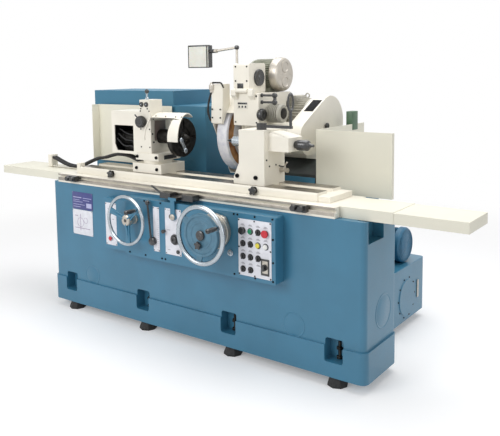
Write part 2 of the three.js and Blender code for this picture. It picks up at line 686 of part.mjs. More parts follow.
// The workhead's base: slide block with a key in the channel, round turntable and its pin
function workheadBase() {
  const { halfLength, front, rear, height, discRadius, discHeight, pinRadius, pinHeight } = workBase;
  const slide = block(-halfLength, halfLength, -front, rear, 0, height);
  const keyHalf = channel.width / 2 - running;
  const key = block(-halfLength, halfLength, -keyHalf, keyHalf, -channel.keyDepth, overrun);
  const disc = rod(discRadius, height - overrun, height + discHeight, 'up', facets.large);
  const pin = rod(pinRadius, height, height + discHeight + pinHeight, 'up');
  return join(slide, key, disc, pin);
}

// The workhead's body with its motor housing, top block, two knobs and the hood over the faceplate
function workheadBody() {
  const w = workBody;
  const z0 = workBase.height + workBase.discHeight + seat;
  const plate = block(-w.plateHalf, w.plateHalf, -w.plateDepth, w.plateDepth, z0, z0 + w.plateHeight);
  const column = block(-w.columnLeft, w.columnRight, -w.halfDepth, w.halfDepth, z0, w.columnTop);
  const top = block(-w.topLeft, w.topRight, -w.halfDepth, w.topRear, w.columnTop - overrun, w.columnTop + w.topHeight);
  const h = workHousing;
  const housing = block(-h.left, -w.columnLeft + overrun, -w.halfDepth, w.halfDepth, h.bottom, h.top);
  const inside = block(
    -h.left + h.wall, -w.columnLeft - h.wall, -w.halfDepth + h.wall, w.halfDepth - h.wall, h.bottom + h.wall, h.top - h.wall,
  );
  const windowShape = outline([
    [-h.windowLeft, h.windowTop], [-h.windowLeft, h.windowBottom + h.windowCorner],
    [-h.windowLeft + h.windowCorner / 2, h.windowBottom], [-h.windowRight, h.windowBottom], [-h.windowRight, h.windowTop],
  ]);
  const opening = barY(windowShape, -w.halfDepth - overrun, -w.halfDepth + h.wall + overrun);
  const bore = rod(
    boreRadius(faceplate.noseRadius, facets.large), w.columnRight - w.boreDepth, w.columnRight + overrun, 'right', facets.large,
  ).translate(0, 0, axis.height);
  const pinHole = rod(
    boreRadius(workBase.pinRadius, facets.medium), z0 - overrun, z0 + workBase.pinHeight + seat, 'up',
  );
  const k = workKnob;
  const crown = w.columnTop + w.topHeight;
  const knob = rod(k.radius, -overrun, k.length, 'front').translate(k.x, -w.halfDepth, k.z);
  const stem = rod(k.stemRadius, crown - overrun, crown + k.stem, 'up', facets.small).translate(k.x, k.topY, 0);
  const ball = new THREE.SphereGeometry(k.ballRadius, facets.small, facets.small / 2).translate(k.x, k.topY, crown + k.stem);
  return cut(join(plate, column, top, housing, hoodSheet(), knob, stem, ball), inside, opening, bore, pinHole);
}

// The curved sheet over the faceplate, from the front over the top
function hoodSheet() {
  const start = (hood.fromDeg * Math.PI) / 180;
  const stop = (hood.toDeg * Math.PI) / 180;
  const shape = new THREE.Shape();
  shape.absarc(0, axis.height, hood.radius, Math.PI - start, Math.PI - stop, true);
  shape.absarc(0, axis.height, hood.radius - hood.sheet, Math.PI - stop, Math.PI - start, false);
  return barX(shape, workBody.columnRight - overrun, workBody.columnRight + hood.length, facets.medium);
}

function workMotorBody() {
  const { left, right, radius, height, footDepth } = workMotor;
  const floor = workHousing.bottom + workHousing.wall + seat;
  const body = rod(radius, -left, -right, 'right').translate(0, 0, floor + height);
  const base = block(-left + radius, -right - radius / 2, -footDepth / 2, footDepth / 2, floor, floor + height);
  return join(body, base);
}

// The work spindle's nose, faceplate and centre, origin where the nose leaves the body
function faceplateBody() {
  const f = faceplate;
  const face = f.overhang + f.thickness;
  return turned([
    [0, seat - workBody.boreDepth], [f.noseRadius, seat - workBody.boreDepth], [f.noseRadius, f.overhang],
    [f.radius, f.overhang], [f.radius, face], [f.hubRadius, face], [f.hubRadius, face + f.hub], [0, face + f.hub + f.point],
  ], 'right', facets.large);
}

// The tailstock: flared body, rear barrel with its knob and a key in the channel
function tailstockBody() {
  const t = tailstock;
  const side = outline([
    [-t.flareLeft, 0], [t.right, 0], [t.right, t.height], [-t.left, t.height], [-t.left, t.flareHigh],
    [-t.flareLeft, t.flareLow],
  ]);
  const body = barY(side, -t.front, t.rear);
  const keyHalf = channel.width / 2 - running;
  const key = block(-t.flareLeft, t.right, -keyHalf, keyHalf, -channel.keyDepth, overrun);
  const barrel = barX(
    roundedOutline(-t.barrelHalf, t.barrelHalf, t.barrelBottom, t.barrelTop, t.barrelHalf / 3),
    t.right - overrun, t.barrelRight,
  );
  const bore = rod(
    boreRadius(quill.radius, facets.large), -t.left - overrun, t.boreDepth - t.left, 'right', facets.large,
  ).translate(0, 0, axis.height);
  const knob = rod(t.knobRadius, t.barrelRight - overrun, t.barrelRight + t.knob, 'right').translate(0, 0, axis.height);
  return cut(join(body, key, barrel, knob), bore);
}

function quillBody() {
  const q = quill;
  return turned([
    [0, q.inside], [q.radius, q.inside], [q.radius, -q.overhang], [q.pointRadius, -q.overhang], [0, -q.overhang - q.point],
  ], 'right', facets.large);
}

// The quill's hand lever: hub, arm, upright and the stretched loop at its top
function quillLeverBody() {
  const l = quillLever;
  const hub = rod(l.hubRadius, 0, l.hubHeight, 'up');
  const low = l.hubHeight / 3;
  const arm = block(0, l.armLength, -l.armWidth / 2, l.armWidth / 2, low, low + l.armThickness);
  const loopHalf = l.loopRadius * l.loopStretchShare;
  const upright = rod(l.postRadius, low, low + l.postHeight, 'up', facets.small).translate(l.armLength - l.postRadius, 0, 0);
  const loop = ring(l.loopRadius, l.loopTube, 'right', facets.medium, 6);
  loop.scale(1, 1, l.loopStretchShare);
  loop.translate(l.armLength - l.postRadius, 0, low + l.postHeight + loopHalf - l.loopTube);
  return join(hub, arm, upright, loop);
}

// Wheelhead, origin on its swivel axis at the saddle's top

function saddleBlock() {
  return barZ(roundedOutline(
    -saddle.left, saddle.right, -saddle.front, saddle.rear, head.corner,
  ), 0, saddle.height);
}

// The wheelhead casting: base, spindle housing, front block and the hinge knuckles
function wheelheadBody() {
  const h = head;
  const low = outline([
    [-h.front, 0], [h.rear, 0], [h.rear, h.platform], [-h.housingRear, h.platform], [-h.housingRear, h.housingTop],
    [-h.housingFront, h.housingTop], [-h.housingFront, h.housingBottom + h.chin],
    [-h.housingFront + h.chin, h.housingBottom], [-h.front, h.housingBottom],
  ]);
  const top = outline([
    [-h.housingRear, h.housingTop - overrun], [-h.housingRear, h.blockTop - 2 * h.ledgeHeight],
    [h.ledge - h.housingRear, h.blockTop - h.ledgeHeight], [h.ledge - h.housingRear, h.blockTop],
    [-h.blockFront, h.blockTop], [-h.blockFront, h.housingTop - overrun],
  ]);
  const hingeY = -h.blockFront - innerHead.hingeOut;
  const hingeZ = h.blockTop + innerHead.hingeOut;
  const radius = innerHead.hingeRadius;
  const lug = outline([
    [hingeY - radius, hingeZ], [hingeY - radius, h.blockTop - radius], [-h.blockFront, h.blockTop - 3 * radius],
    [overrun - h.blockFront, h.blockTop - radius], [hingeY + radius, h.blockTop - radius], [hingeY + radius, hingeZ],
  ]);
  const knuckles = [-innerHead.left, -innerHead.right - innerHead.knuckle].map((x) => join(
    rod(radius, x, x + innerHead.knuckle, 'right').translate(0, hingeY, hingeZ),
    barX(lug, x, x + innerHead.knuckle),
  ));
  const bore = rod(
    boreRadius(spindle.radius, facets.medium), -h.left - overrun, h.right + overrun, 'right',
  ).translate(0, -spindle.y, spindleZ);
  const body = join(barX(low, -h.left, h.right), barX(top, -h.left, -h.blockRight), ...knuckles, ...blockFittings());
  return cut(body, bore);
}

// What stands out of the front block's right face: the oil pump's motor, a knob and two clamp handles
function blockFittings() {
  const face = -head.blockRight;
  const { radius, length, edge } = sidePump;
  const pump = turned([
    [0, -overrun], [radius, -overrun], [radius, length - edge], [radius - edge, length], [0, length],
  ], 'right').translate(face, sidePump.y, sidePump.z);
  const knob = rod(sideKnob.radius, -overrun, sideKnob.length, 'right').translate(face, sideKnob.y, sideKnob.z);
  const handles = [0, 1].map((i) => {
    const z = clampHandle.low + i * clampHandle.spacing;
    const arm = rod(clampHandle.radius, -overrun, clampHandle.length, 'right', facets.small);
    const ball = new THREE.SphereGeometry(clampHandle.ballRadius, facets.small, facets.small / 2);
    return join(arm, ball.translate(clampHandle.length, 0, 0)).translate(face, clampHandle.y, z);
  });
  return [pump, knob, ...handles];
}

// The sheet guard round the wheel, open at the front from above the centre to the bottom,
// with the visor that stands over its mouth and the lamp's pad
function wheelGuardShell() {
  const g = wheelGuard;
  const right = -head.left - seat;
  const start = Math.PI - (g.fromDeg * Math.PI) / 180;
  const stop = Math.PI - (g.toDeg * Math.PI) / 180 - 2 * Math.PI;
  const pie = (radius) => {
    const shape = new THREE.Shape();
    shape.moveTo(0, 0);
    shape.absarc(0, 0, radius, start, stop, true);
    return shape;
  };
  const outer = barX(pie(g.radius), -g.left, right, facets.large);
  const inner = rod(g.radius - g.sheet, -g.left + g.sheet, right - g.sheet, 'right', facets.large);
  const hole = rod(g.holeRadius, right - g.sheet - overrun, right + overrun, 'right');
  const pad = block(
    -lamp.x - g.pad, -lamp.x + g.pad, lamp.y - g.pad, lamp.y + g.pad, g.radius - 2 * g.sheet, g.radius + g.padHeight,
  );
  const visor = cut(barX(outline([
    [-g.visorFront, g.visorBottom], [-g.visorRear, g.visorBottom], [-g.visorRear, g.visorTop],
    [g.visorLean - g.visorFront, g.visorTop],
  ]), -g.left, -g.visorRight), rod(g.radius - g.sheet / 2, -g.left - overrun, right, 'right', facets.large));
  return cut(join(outer, pad, visor), inner, hole);
}

function grindingWheelBody() {
  const bore = boreRadius(spindle.flangeRadius, facets.large);
  return turned([
    [bore, -wheel.left], [wheel.radius, -wheel.left], [wheel.radius, wheel.width - wheel.left],
    [bore, wheel.width - wheel.left], [bore, -wheel.left],
  ], 'right', facets.wheel);
}

// The wheel spindle: nut, wheel hub, back plate, shaft and the driven pulley
function wheelSpindleBody() {
  const s = spindle;
  const left = -wheel.left;
  const right = wheel.width - wheel.left + seat;
  const p = pulley;
  return turned([
    [0, left - s.nut], [s.nutRadius, left - s.nut], [s.nutRadius, left + seat], [s.flangeRadius, left + seat],
    [s.flangeRadius, right], [s.plateRadius, right], [s.plateRadius, right + s.plate], [s.radius, right + s.plate],
    [s.radius, p.left], [p.spindleRadius + p.rim, p.left], [p.spindleRadius + p.rim, p.left + p.rim],
    [p.spindleRadius, p.left + p.rim], [p.spindleRadius, p.left + p.width - p.rim],
    [p.spindleRadius + p.rim, p.left + p.width - p.rim], [p.spindleRadius + p.rim, p.left + p.width], [0, p.left + p.width],
  ], 'right', facets.large);
}

function motorPulleyBody() {
  const p = pulley;
  return turned([
    [0, motor.right - motor.boreDepth], [motor.shaftRadius, motor.right - motor.boreDepth], [motor.shaftRadius, p.left],
    [p.motorRadius + p.rim, p.left], [p.motorRadius + p.rim, p.left + p.rim], [p.motorRadius, p.left + p.rim],
    [p.motorRadius, p.left + p.width - p.rim], [p.motorRadius + p.rim, p.left + p.width - p.rim],
    [p.motorRadius + p.rim, p.left + p.width], [0, p.left + p.width],
  ], 'right', facets.large);
}

// The wheel motor: cowl, barrel, end shield, feet, eyebolt and the bore of its shaft
function mainMotorBody() {
  const m = motor;
  const barrel = turned([
    [0, -m.left], [m.cowlRadius - m.shield, -m.left], [m.cowlRadius, -m.left + m.shield], [m.cowlRadius, -m.left + m.cowl],
    [m.radius, -m.left + m.cowl], [m.radius, m.right - m.shield], [m.shieldRadius, m.right], [0, m.right],
  ], 'right', facets.large);
  const base = block(
    -m.left + m.cowl, m.right - m.footInset, -m.footDepth / 2, m.footDepth / 2, head.platform + seat - m.z, -m.radius / 2,
  );
  const bore = rod(
    boreRadius(m.shaftRadius, facets.large), m.right - m.boreDepth - overrun, m.right + overrun, 'right', facets.large,
  );
  const eye = ring(m.eyeRadius, m.eyeTube, 'front', facets.medium, 6).translate(m.eyeX, 0, m.radius + m.eyeRadius + m.eyeTube);
  const neck = rod(m.eyeTube, -overrun, 2 * m.eyeTube, 'up', facets.small).translate(m.eyeX, 0, m.radius);
  return cut(join(barrel, base, eye, neck), bore);
}

function driveBelt() {
  const { spindleRadius: r0, motorRadius: r1 } = pulley;
  const place = [-spindle.y, spindleZ, motor.y, motor.z];
  const loop = (extra) => beltOutline(place[0], place[1], r0 + extra, place[2], place[3], r1 + extra);
  const x0 = pulley.left + (pulley.width - belt.width) / 2;
  const outer = barX(loop(2 * running + belt.thickness), x0, x0 + belt.width, facets.medium);
  const inner = barX(loop(2 * running), x0 - overrun, x0 + belt.width + overrun, facets.medium);
  return cut(outer, inner);
}

function beltGuardShell() {
  const { right, frontRadius, rearRadius, wall } = beltGuard;
  const x0 = head.right + seat;
  const shell = (less) => beltOutline(
    -spindle.y, spindleZ, frontRadius - less, motor.y, motor.z, rearRadius - less,
  );
  return cut(barX(shell(0), x0, right, facets.medium), barX(shell(wall), x0 - overrun, right - wall, facets.medium));
}

// The swing-down internal grinding head, origin on its hinge
function innerHeadBody() {
  const i = innerHead;
  const bottom = seat - i.hingeOut;
  const body = barX(
    roundedOutline(i.front, i.front + i.depth, bottom, bottom + i.height, i.corner), -i.left, -i.right,
  );
  const disc = rod(i.discRadius, -i.right - overrun, -i.right + i.discProud, 'right').translate(0, i.discY, i.discZ);
  const barrelLeft = -i.left + i.knuckle + 2 * seat;
  const barrelRight = -i.right - i.knuckle - 2 * seat;
  const barrel = rod(i.hingeRadius, barrelLeft, barrelRight, 'right');
  const lug = block(barrelLeft, barrelRight, 0, i.front + overrun, -i.hingeRadius / 2, i.hingeRadius / 2);
  return join(body, disc, barrel, lug);
}

function innerMotorBody() {
  const m = innerMotor;
  const drop = -m.bellRadius - m.footHeight;
  const body = turned([
    [0, -m.left], [m.radius, -m.left], [m.radius, m.right - m.bell], [m.bellRadius, m.right - m.bell],
    [m.bellRadius, m.right - m.bell / 8], [m.bellRadius - m.bell / 8, m.right], [0, m.right],
  ], 'right', facets.large);
  const base = block(-head.left, -head.blockRight, -m.footDepth / 2, m.footDepth / 2, drop, -m.radius / 2);
  return join(body, base);
}

// The lamp's post and arm, origin at the post's foot
function lampArmBody() {
  const l = lamp;
  const flange = rod(l.flangeRadius, 0, l.flange, 'up');
  const upright = rod(l.rodRadius, 0, l.height, 'up', facets.small);
  const elbow = new THREE.SphereGeometry(l.elbow, facets.small, facets.small / 2).translate(0, 0, l.height);
  const end = l.height - l.drop;
  const arm = rodBetween([0, 0, l.height], [l.joint / 2 - l.reach, 0, end], l.rodRadius);
  const joint = rod(l.jointRadius, -l.reach, l.joint - l.reach, 'right', facets.small).translate(0, 0, end);
  return join(flange, upright, elbow, arm, joint);
}

// The lamp's head with the cup of its joint, origin at the joint
function lampHeadBody() {
  const l = lamp;
  const cup = rod(l.jointRadius, -l.headGap - overrun, -seat, 'right', facets.small);
  const box = barY(roundedOutline(
    -l.headGap - l.headWidth, -l.headGap, -l.headBottom, l.headTop, l.frame,
  ), -l.headDepth / 2, l.headDepth / 2);
  return join(cup, box);
}

// Controls, each with its origin on its own axis at the apron's face

function traverseWheelBody() {
  const w = traverseWheel;
  const shaft = turned([
    [0, seat - shaftInside], [w.shaftRadius, seat - shaftInside], [w.shaftRadius, seat], [w.collarRadius, seat],
    [w.collarRadius, w.collar], [w.shaftRadius, w.collar], [w.shaftRadius, w.standoff], [0, w.standoff],
  ], 'front', facets.small);
  const hub = rod(w.hubRadius, w.standoff - w.hub, w.standoff + w.spokeThickness, 'front');
  const rim = ring(w.radius - w.tube, w.tube, 'front', facets.large).translate(0, -w.standoff, 0);
  const spokes = [0, 1, 2].map((i) => block(
    0, w.radius - w.tube, -w.standoff - w.spokeThickness / 2, -w.standoff + w.spokeThickness / 2,
    -w.spokeWidth / 2, w.spokeWidth / 2,
  ).rotateY(-((w.spokeDeg + 120 * i) * Math.PI) / 180));
  return join(shaft, hub, rim, ...spokes);
}

function infeedWheelBody() {
  const w = infeedWheel;
  const core = turned([
    [0, seat - shaftInside], [w.shaftRadius, seat - shaftInside], [w.shaftRadius, seat], [w.drumRadius, seat],
    [w.drumRadius, w.drum], [w.radius - w.tube, w.standoff - w.discThickness], [w.radius - w.tube, w.standoff],
    [w.hubRadius, w.standoff], [w.hubRadius, w.standoff + w.hub], [0, w.standoff + w.hub],
  ], 'front', facets.large);
  const rim = ring(w.radius - w.tube, w.tube, 'front', facets.large).translate(0, -w.standoff, 0);
  return join(core, rim);
}

// A handwheel's turning grip, its origin on the wheel's face
function gripBody() {
  const g = grip;
  return turned([
    [0, seat], [g.pin, seat], [g.pin, g.pinLength], [g.waist, g.pinLength], [g.radius, g.length / 3],
    [g.radius, g.length - g.pin], [g.waist, g.length], [0, g.length],
  ], 'front', facets.small);
}

function tableLeverBody() {
  const l = tableLever;
  const stem = rod(button.stemRadius, seat - button.stem, seat, 'front', facets.small);
  const boss = rod(l.bossRadius, seat, l.boss, 'front');
  const mid = -l.ballRadius - l.armRadius / 2;
  const arm = rodBetween([0, mid, 0], [l.topX, mid, l.topZ], l.armRadius);
  const ball = new THREE.SphereGeometry(l.ballRadius, facets.medium, facets.small).translate(l.topX, mid, l.topZ);
  return join(stem, boss, arm, ball);
}

// The table reversing lever: boss, arm, the bar that the dogs strike and its hand rod
function reverserBody() {
  const r = reverser;
  const stem = rod(button.stemRadius, seat - button.stem, seat, 'front', facets.small);
  const boss = rod(r.bossRadius, seat, r.boss, 'front');
  const arm = block(-r.armWidth / 2, r.armWidth / 2, -r.boss, -r.boss + r.armThickness, 0, r.barBottom + r.barHeight / 2);
  const bar = block(-r.armWidth, r.armWidth, -r.boss, r.barRear, r.barBottom, r.barBottom + r.barHeight / 2);
  const stops = [-r.barLeft, r.barRight - r.stopLength].map((x) => block(
    x, x + r.stopLength, r.barRear / 6, r.barRear, r.barBottom, r.barBottom + r.barHeight,
  ));
  const tie = block(-r.barLeft, r.barRight, r.barRear / 3, r.barRear - overrun, r.barBottom, r.barBottom + r.barHeight / 2);
  const rodY = r.barRear / 2;
  const hand = rodBetween(
    [-r.barLeft + r.rodRadius, rodY, r.barBottom + r.barHeight / 2], [r.rodX, rodY, r.rodZ], r.rodRadius,
  );
  return join(stem, boss, arm, bar, tie, hand, ...stops);
}

function columnX(column) {
  return apron.left + panel.left + column * panel.columnSpacing;
}

function rowZ(row) {
  return apronBottom + panel.top - row * panel.rowSpacing;
}

// The panel's controls by column and row
function panelControls() {
  return [
    { name: 'black_button', look: finish.black, column: 0, row: 0, cap: mushroom },
    { name: 'green_button', look: finish.green, column: 1, row: 0, cap: button },
    { name: 'emergency_stop_button', look: finish.red, column: 3, row: 0, cap: mushroom },
    { name: 'yellow_button', look: finish.yellow, column: 2, row: 1, cap: button },
    { name: 'white_button', look: finish.white, column: 3, row: 1, cap: button },
    { name: 'selector_switch_1', look: finish.black, column: 0, row: 1 },
    { name: 'selector_switch_2', look: finish.black, column: 1, row: 1 },
  ];
}

function pushButton(cap) {
  const back = button.travel + seat;
  const end = back + cap.length;
  return turned([
    [0, seat - button.stem], [button.stemRadius, seat - button.stem], [button.stemRadius, back], [cap.radius, back],
    [cap.radius, end - cap.edge], [cap.radius - cap.edge, end], [0, end],
  ], 'front', facets.medium);
}

function turnKnob(size) {
  const body = turned([
    [0, seat - button.stem], [button.stemRadius, seat - button.stem], [button.stemRadius, seat], [size.radius, seat],
    [size.radius, size.length], [0, size.length],
  ], 'front', facets.medium);
  if (!size.gripWidth) return body;
  const bar = block(
    -size.gripWidth / 2, size.gripWidth / 2, -size.length - size.gripHeight, -size.length + overrun / 2,
    -size.radius + seat, size.radius - seat,
  );
  return join(body, bar);
}

// The machine

const machine = new THREE.Group();

function addFixedPieces() {
  add(machine, 'bed_casting', finish.blue, bedCasting(), 0, 0, bed.bottom);
  add(machine, 'wheelhead_bed', finish.blue, rearBedCasting(), 0, 0, bed.bottom);
  const tankLeft = rearBed.right + seat;
  add(machine, 'hydraulic_tank', finish.blue, oilTank(), tankLeft, 0, bed.bottom);
  add(
    machine, 'hydraulic_motor', finish.blue, pumpMotorBody(), tankLeft + tank.length - pumpMotor.inset / 2,
    tank.front + tank.depth - 2 * pumpMotor.radius,
    bed.bottom + tank.height + seat + pumpMotor.radius + pumpMotor.footHeight,
  );
  for (let i = 0; i < pocket.count; i++) {
    add(machine, `foot_front_${i + 1}`, finish.black, levellingFoot(), pocketX(i), -foot.front);
  }
  const rearY = rearBed.rear - foot.depth - foot.front;
  add(machine, 'foot_rear_1', finish.black, levellingFoot(), rearBed.left + foot.bottom, rearY);
  const tankFootY = tank.front + tank.depth - foot.depth - foot.front;
  add(machine, 'foot_rear_2', finish.black, levellingFoot(), tankLeft + tank.length - foot.bottom, tankFootY);
  add(machine, 'apron_box', finish.blue, apronBox());
  add(machine, 'electrical_cabinet', finish.blue, cabinetShell());
  const doorX = cabinetLeft + door.inset / 2;
  const doorY = cabinetFront + cabinet.depth;
  add(machine, 'cabinet_door', finish.blue, cabinetDoorLeaf(), doorX, doorY, door.bottom - door.inset / 2);
  add(machine, 'left_splash_guard', finish.cream, leftSplashGuard());
  add(machine, 'right_splash_guard', finish.cream, rightSplashGuard());
  add(machine, 'way_bellows', finish.rubber, bellowsBlock(), 0, bellowsFront, saddleBottom);
}

function addHandwheel(name, size, look, body, deg) {
  const [x, z] = [apron.left + size.x, apronBottom + size.z];
  add(machine, `${name}_handwheel`, look, body, x, apronFront, z);
  const reach = size.radius - size.tube - grip.inset;
  const turn = (deg * Math.PI) / 180;
  const face = size.spokeThickness ? size.standoff + size.spokeThickness / 2 : size.standoff;
  add(
    machine, `${name}_handle`, finish.black, gripBody(),
    x + reach * Math.cos(turn), apronFront - face, z + reach * Math.sin(turn),
  );
}

function addControls() {
  addHandwheel('traverse', traverseWheel, finish.steel, traverseWheelBody(), traverseWheel.spokeDeg);
  addHandwheel('infeed', infeedWheel, finish.steel, infeedWheelBody(), infeedWheel.handleDeg);
  const put = (name, body, { x, z }) => add(machine, name, finish.black, body, apron.left + x, apronFront, apronBottom + z);
  put('table_lever', tableLeverBody(), tableLever);
  put('reversing_lever', reverserBody(), reverser);
  put('feed_knob', turnKnob(feedKnob), feedKnob);
  put('feed_dial', turnKnob(feedDial), feedDial);
  put('main_switch', turnKnob(mainSwitch), mainSwitch);
  add(machine, 'red_button', finish.red, pushButton(button), sideLeft + redButton.x, sideFront, sideBottom + redButton.z);
  for (const { name, look, column, row, cap } of panelControls()) {
    add(machine, name, look, cap ? pushButton(cap) : turnKnob(knobSize), columnX(column), apronFront, rowZ(row));
  }
}

function addTable() {
  const table = group(machine, 0, 0, bedTop + seat);
  add(table, 'lower_table', finish.cream, lowerTableBody(), lowerTable.left);
  add(table, 'left_way_cover', finish.cream, leftCoverShell(), lowerTable.left);
  add(table, 'right_way_cover', finish.cream, rightCoverShell(), lowerTable.left + lowerTable.length + seat);
  const dogX = {
    left: lowerTable.left + dogInset.left, right: lowerTable.left + lowerTable.length - dogInset.right,
  };
  for (const side of ['left', 'right']) {
    add(table, `${side}_trip_dog`, finish.black, tripDog(), dogX[side], lowerTable.front, dogSlot.height);
  }
  const swung = group(table, swivel.pivot, axis.y, tableTop);
  add(swung, 'swivel_table', finish.cream, swivelTableBody());
  add(swung, 'table_conduit', finish.rubber, conduitTube());

  const workhead = group(swung, workX - swivel.pivot, 0, swivelTop);
  add(workhead, 'workhead_base', finish.cream, workheadBase());
  add(workhead, 'workhead_body', finish.cream, workheadBody());
  add(workhead, 'workhead_motor', finish.black, workMotorBody());
  add(workhead, 'faceplate', finish.iron, faceplateBody(), workBody.columnRight, 0, axis.height);

  const tail = group(swung, tailX - swivel.pivot, 0, swivelTop);
  add(tail, 'tailstock_body', finish.cream, tailstockBody());
  add(tail, 'tailstock_quill', finish.steel, quillBody(), -tailstock.left, 0, axis.height);
  add(tail, 'quill_lever', finish.brown, quillLeverBody(), quillLever.x, quillLever.y, tailstock.height + seat);
}

function addWheelhead() {
  const slide = group(machine, head.pivotX, head.pivotY, saddleBottom);
  add(slide, 'wheelhead_saddle', finish.cream, saddleBlock());
  const swung = group(machine, head.pivotX, head.pivotY, headZ);
  add(swung, 'wheelhead_body', finish.cream, wheelheadBody());
  const axle = group(swung, 0, -spindle.y, spindleZ);
  add(axle, 'wheel_guard', finish.cream, wheelGuardShell());
  add(axle, 'grinding_wheel', finish.abrasive, grindingWheelBody());
  add(axle, 'wheel_spindle', finish.steel, wheelSpindleBody());
  add(swung, 'main_motor', finish.grey, mainMotorBody(), 0, motor.y, motor.z);
  add(swung, 'motor_pulley', finish.iron, motorPulleyBody(), 0, motor.y, motor.z);
  add(swung, 'drive_belt', finish.rubber, driveBelt());
  add(swung, 'belt_guard', finish.cream, beltGuardShell());
  add(
    swung, 'internal_grinding_head', finish.cream, innerHeadBody(), 0,
    -head.blockFront - innerHead.hingeOut, head.blockTop + innerHead.hingeOut,
  );
  add(
    swung, 'internal_motor', finish.grey, innerMotorBody(), 0, -innerMotor.y,
    head.blockTop + seat + innerMotor.bellRadius + innerMotor.footHeight,
  );
  const lampZ = wheelGuard.radius + wheelGuard.padHeight + seat;
  add(axle, 'lamp_arm', finish.grey, lampArmBody(), -lamp.x, lamp.y, lampZ);
  add(axle, 'lamp_head', finish.black, lampHeadBody(), -lamp.x - lamp.reach, lamp.y, lampZ + lamp.height - lamp.drop);
}

// The origin goes to the floor, under the middle of the whole machine
function settle() {
  machine.updateMatrixWorld(true);
  const box = new THREE.Box3().setFromObject(machine, true);
  machine.position.set(-(box.min.x + box.max.x) / 2, -(box.min.y + box.max.y) / 2, -box.min.z);
}

addFixedPieces();
addControls();
addTable();
addWheelhead();
settle();

export default machine;
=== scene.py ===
"""Cylindrical grinding machine: the finished surfaces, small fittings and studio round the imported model."""
import functools
import json
import math
from contextlib import contextmanager
from itertools import pairwise, product
from typing import NamedTuple

import bmesh
import bpy
from mathutils import Matrix, Vector

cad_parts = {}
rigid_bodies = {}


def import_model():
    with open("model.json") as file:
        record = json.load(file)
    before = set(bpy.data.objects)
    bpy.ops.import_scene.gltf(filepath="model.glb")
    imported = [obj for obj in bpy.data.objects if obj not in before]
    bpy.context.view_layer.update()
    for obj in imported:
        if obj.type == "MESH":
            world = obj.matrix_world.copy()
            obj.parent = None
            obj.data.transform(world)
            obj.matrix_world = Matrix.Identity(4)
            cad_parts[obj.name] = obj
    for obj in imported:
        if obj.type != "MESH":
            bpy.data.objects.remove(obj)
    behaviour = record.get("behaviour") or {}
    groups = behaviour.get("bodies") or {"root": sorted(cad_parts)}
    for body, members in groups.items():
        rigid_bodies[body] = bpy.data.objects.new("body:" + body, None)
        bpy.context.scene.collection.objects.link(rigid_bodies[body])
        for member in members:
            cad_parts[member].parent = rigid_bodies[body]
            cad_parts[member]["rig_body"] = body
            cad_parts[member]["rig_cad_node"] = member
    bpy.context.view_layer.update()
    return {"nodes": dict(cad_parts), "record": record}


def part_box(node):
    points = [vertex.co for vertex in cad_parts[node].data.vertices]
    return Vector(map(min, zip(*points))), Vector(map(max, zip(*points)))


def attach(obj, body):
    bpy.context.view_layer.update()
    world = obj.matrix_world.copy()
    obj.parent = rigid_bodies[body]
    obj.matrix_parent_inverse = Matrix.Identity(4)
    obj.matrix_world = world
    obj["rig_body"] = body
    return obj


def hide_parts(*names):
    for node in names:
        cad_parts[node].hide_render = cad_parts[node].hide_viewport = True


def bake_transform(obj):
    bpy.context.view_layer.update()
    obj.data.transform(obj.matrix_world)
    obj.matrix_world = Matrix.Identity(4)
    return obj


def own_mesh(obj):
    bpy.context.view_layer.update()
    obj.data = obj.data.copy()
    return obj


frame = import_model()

bl_info = {
    "name": "Cylindrical grinder", "version": (1, 0, 0), "blender": (4, 5, 0),
    "location": "View3D > Sidebar > Grinder",
    "description": "Dresses the packed grinding machine with its finished surfaces and fittings",
    "category": "Object",
}

MM = 0.001
WELD = MM / 100
RIGHT, LEFT = Vector((1, 0, 0)), Vector((-1, 0, 0))
BACK, FRONT = Vector((0, 1, 0)), Vector((0, -1, 0))
UP, DOWN = Vector((0, 0, 1)), Vector((0, 0, -1))

# Places and lengths are in millimetres right of the bed's left end, behind its front face and above the floor.
# The plinth stands 10 mm out from both faces.
PLINTH = 10
BED_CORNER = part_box("bed_casting")[0]
DATUM = Vector((BED_CORNER.x + PLINTH * MM, BED_CORNER.y + PLINTH * MM, 0))
SLOTS = {part["node"]: part["material_slot"] for part in frame["record"]["subparts"]}
BODIES = {n: o["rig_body"] for n, o in frame["nodes"].items()}


def place(x, y, z):
    """A point in metres, from its place in millimetres."""
    return DATUM + Vector((x, y, z)) * MM


def measured(point):
    """A point's place in millimetres, from metres."""
    return tuple((Vector(point) - DATUM) / MM)


def corners(node):
    """A node's low and high corner."""
    return tuple(Vector(measured(p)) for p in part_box(node))


def middle(node):
    """The middle of a node's box."""
    low, high = corners(node)
    return (low + high) / 2


def shifted(centre, points):
    """Places given by their distances from a centre."""
    return [tuple(c + d for c, d in zip(centre, point)) for point in points]


# The axes of the work, the wheel and the main motor, and the faces that fittings stand on
WORK_Y, WHEEL_Y, MAIN_MOTOR_Y = 200, 555, 810
AXIS_Z, MAIN_MOTOR_Z = 1172.6, 1249.6
WORKHEAD_X = 750
WORKHEAD_FACE = 110
COLUMN_RIGHT = 815
APRON_FACE = corners("apron_box")[0].y
SIDE_FACE = -60.3
WHEELHEAD_RIGHT = 1443.2
WHEELHEAD_FACE = 355
INNER_HEAD_RIGHT = 1376
TANK_RIGHT = 2121.3
DOOR_BACK = 870.2


# Modelling steps

def alone(*pieces):
    """Selects only these pieces, the last of them active."""
    bpy.ops.object.select_all(action="DESELECT")
    for piece in pieces:
        piece.select_set(True)
    bpy.context.view_layer.objects.active = pieces[-1]


@contextmanager
def editing(piece):
    """Edit mode, with all of the piece selected."""
    alone(piece)
    bpy.ops.object.mode_set(mode="EDIT")
    bpy.ops.mesh.select_mode(type="VERT")
    bpy.ops.mesh.select_all(action="SELECT")
    yield
    bpy.ops.object.mode_set(mode="OBJECT")


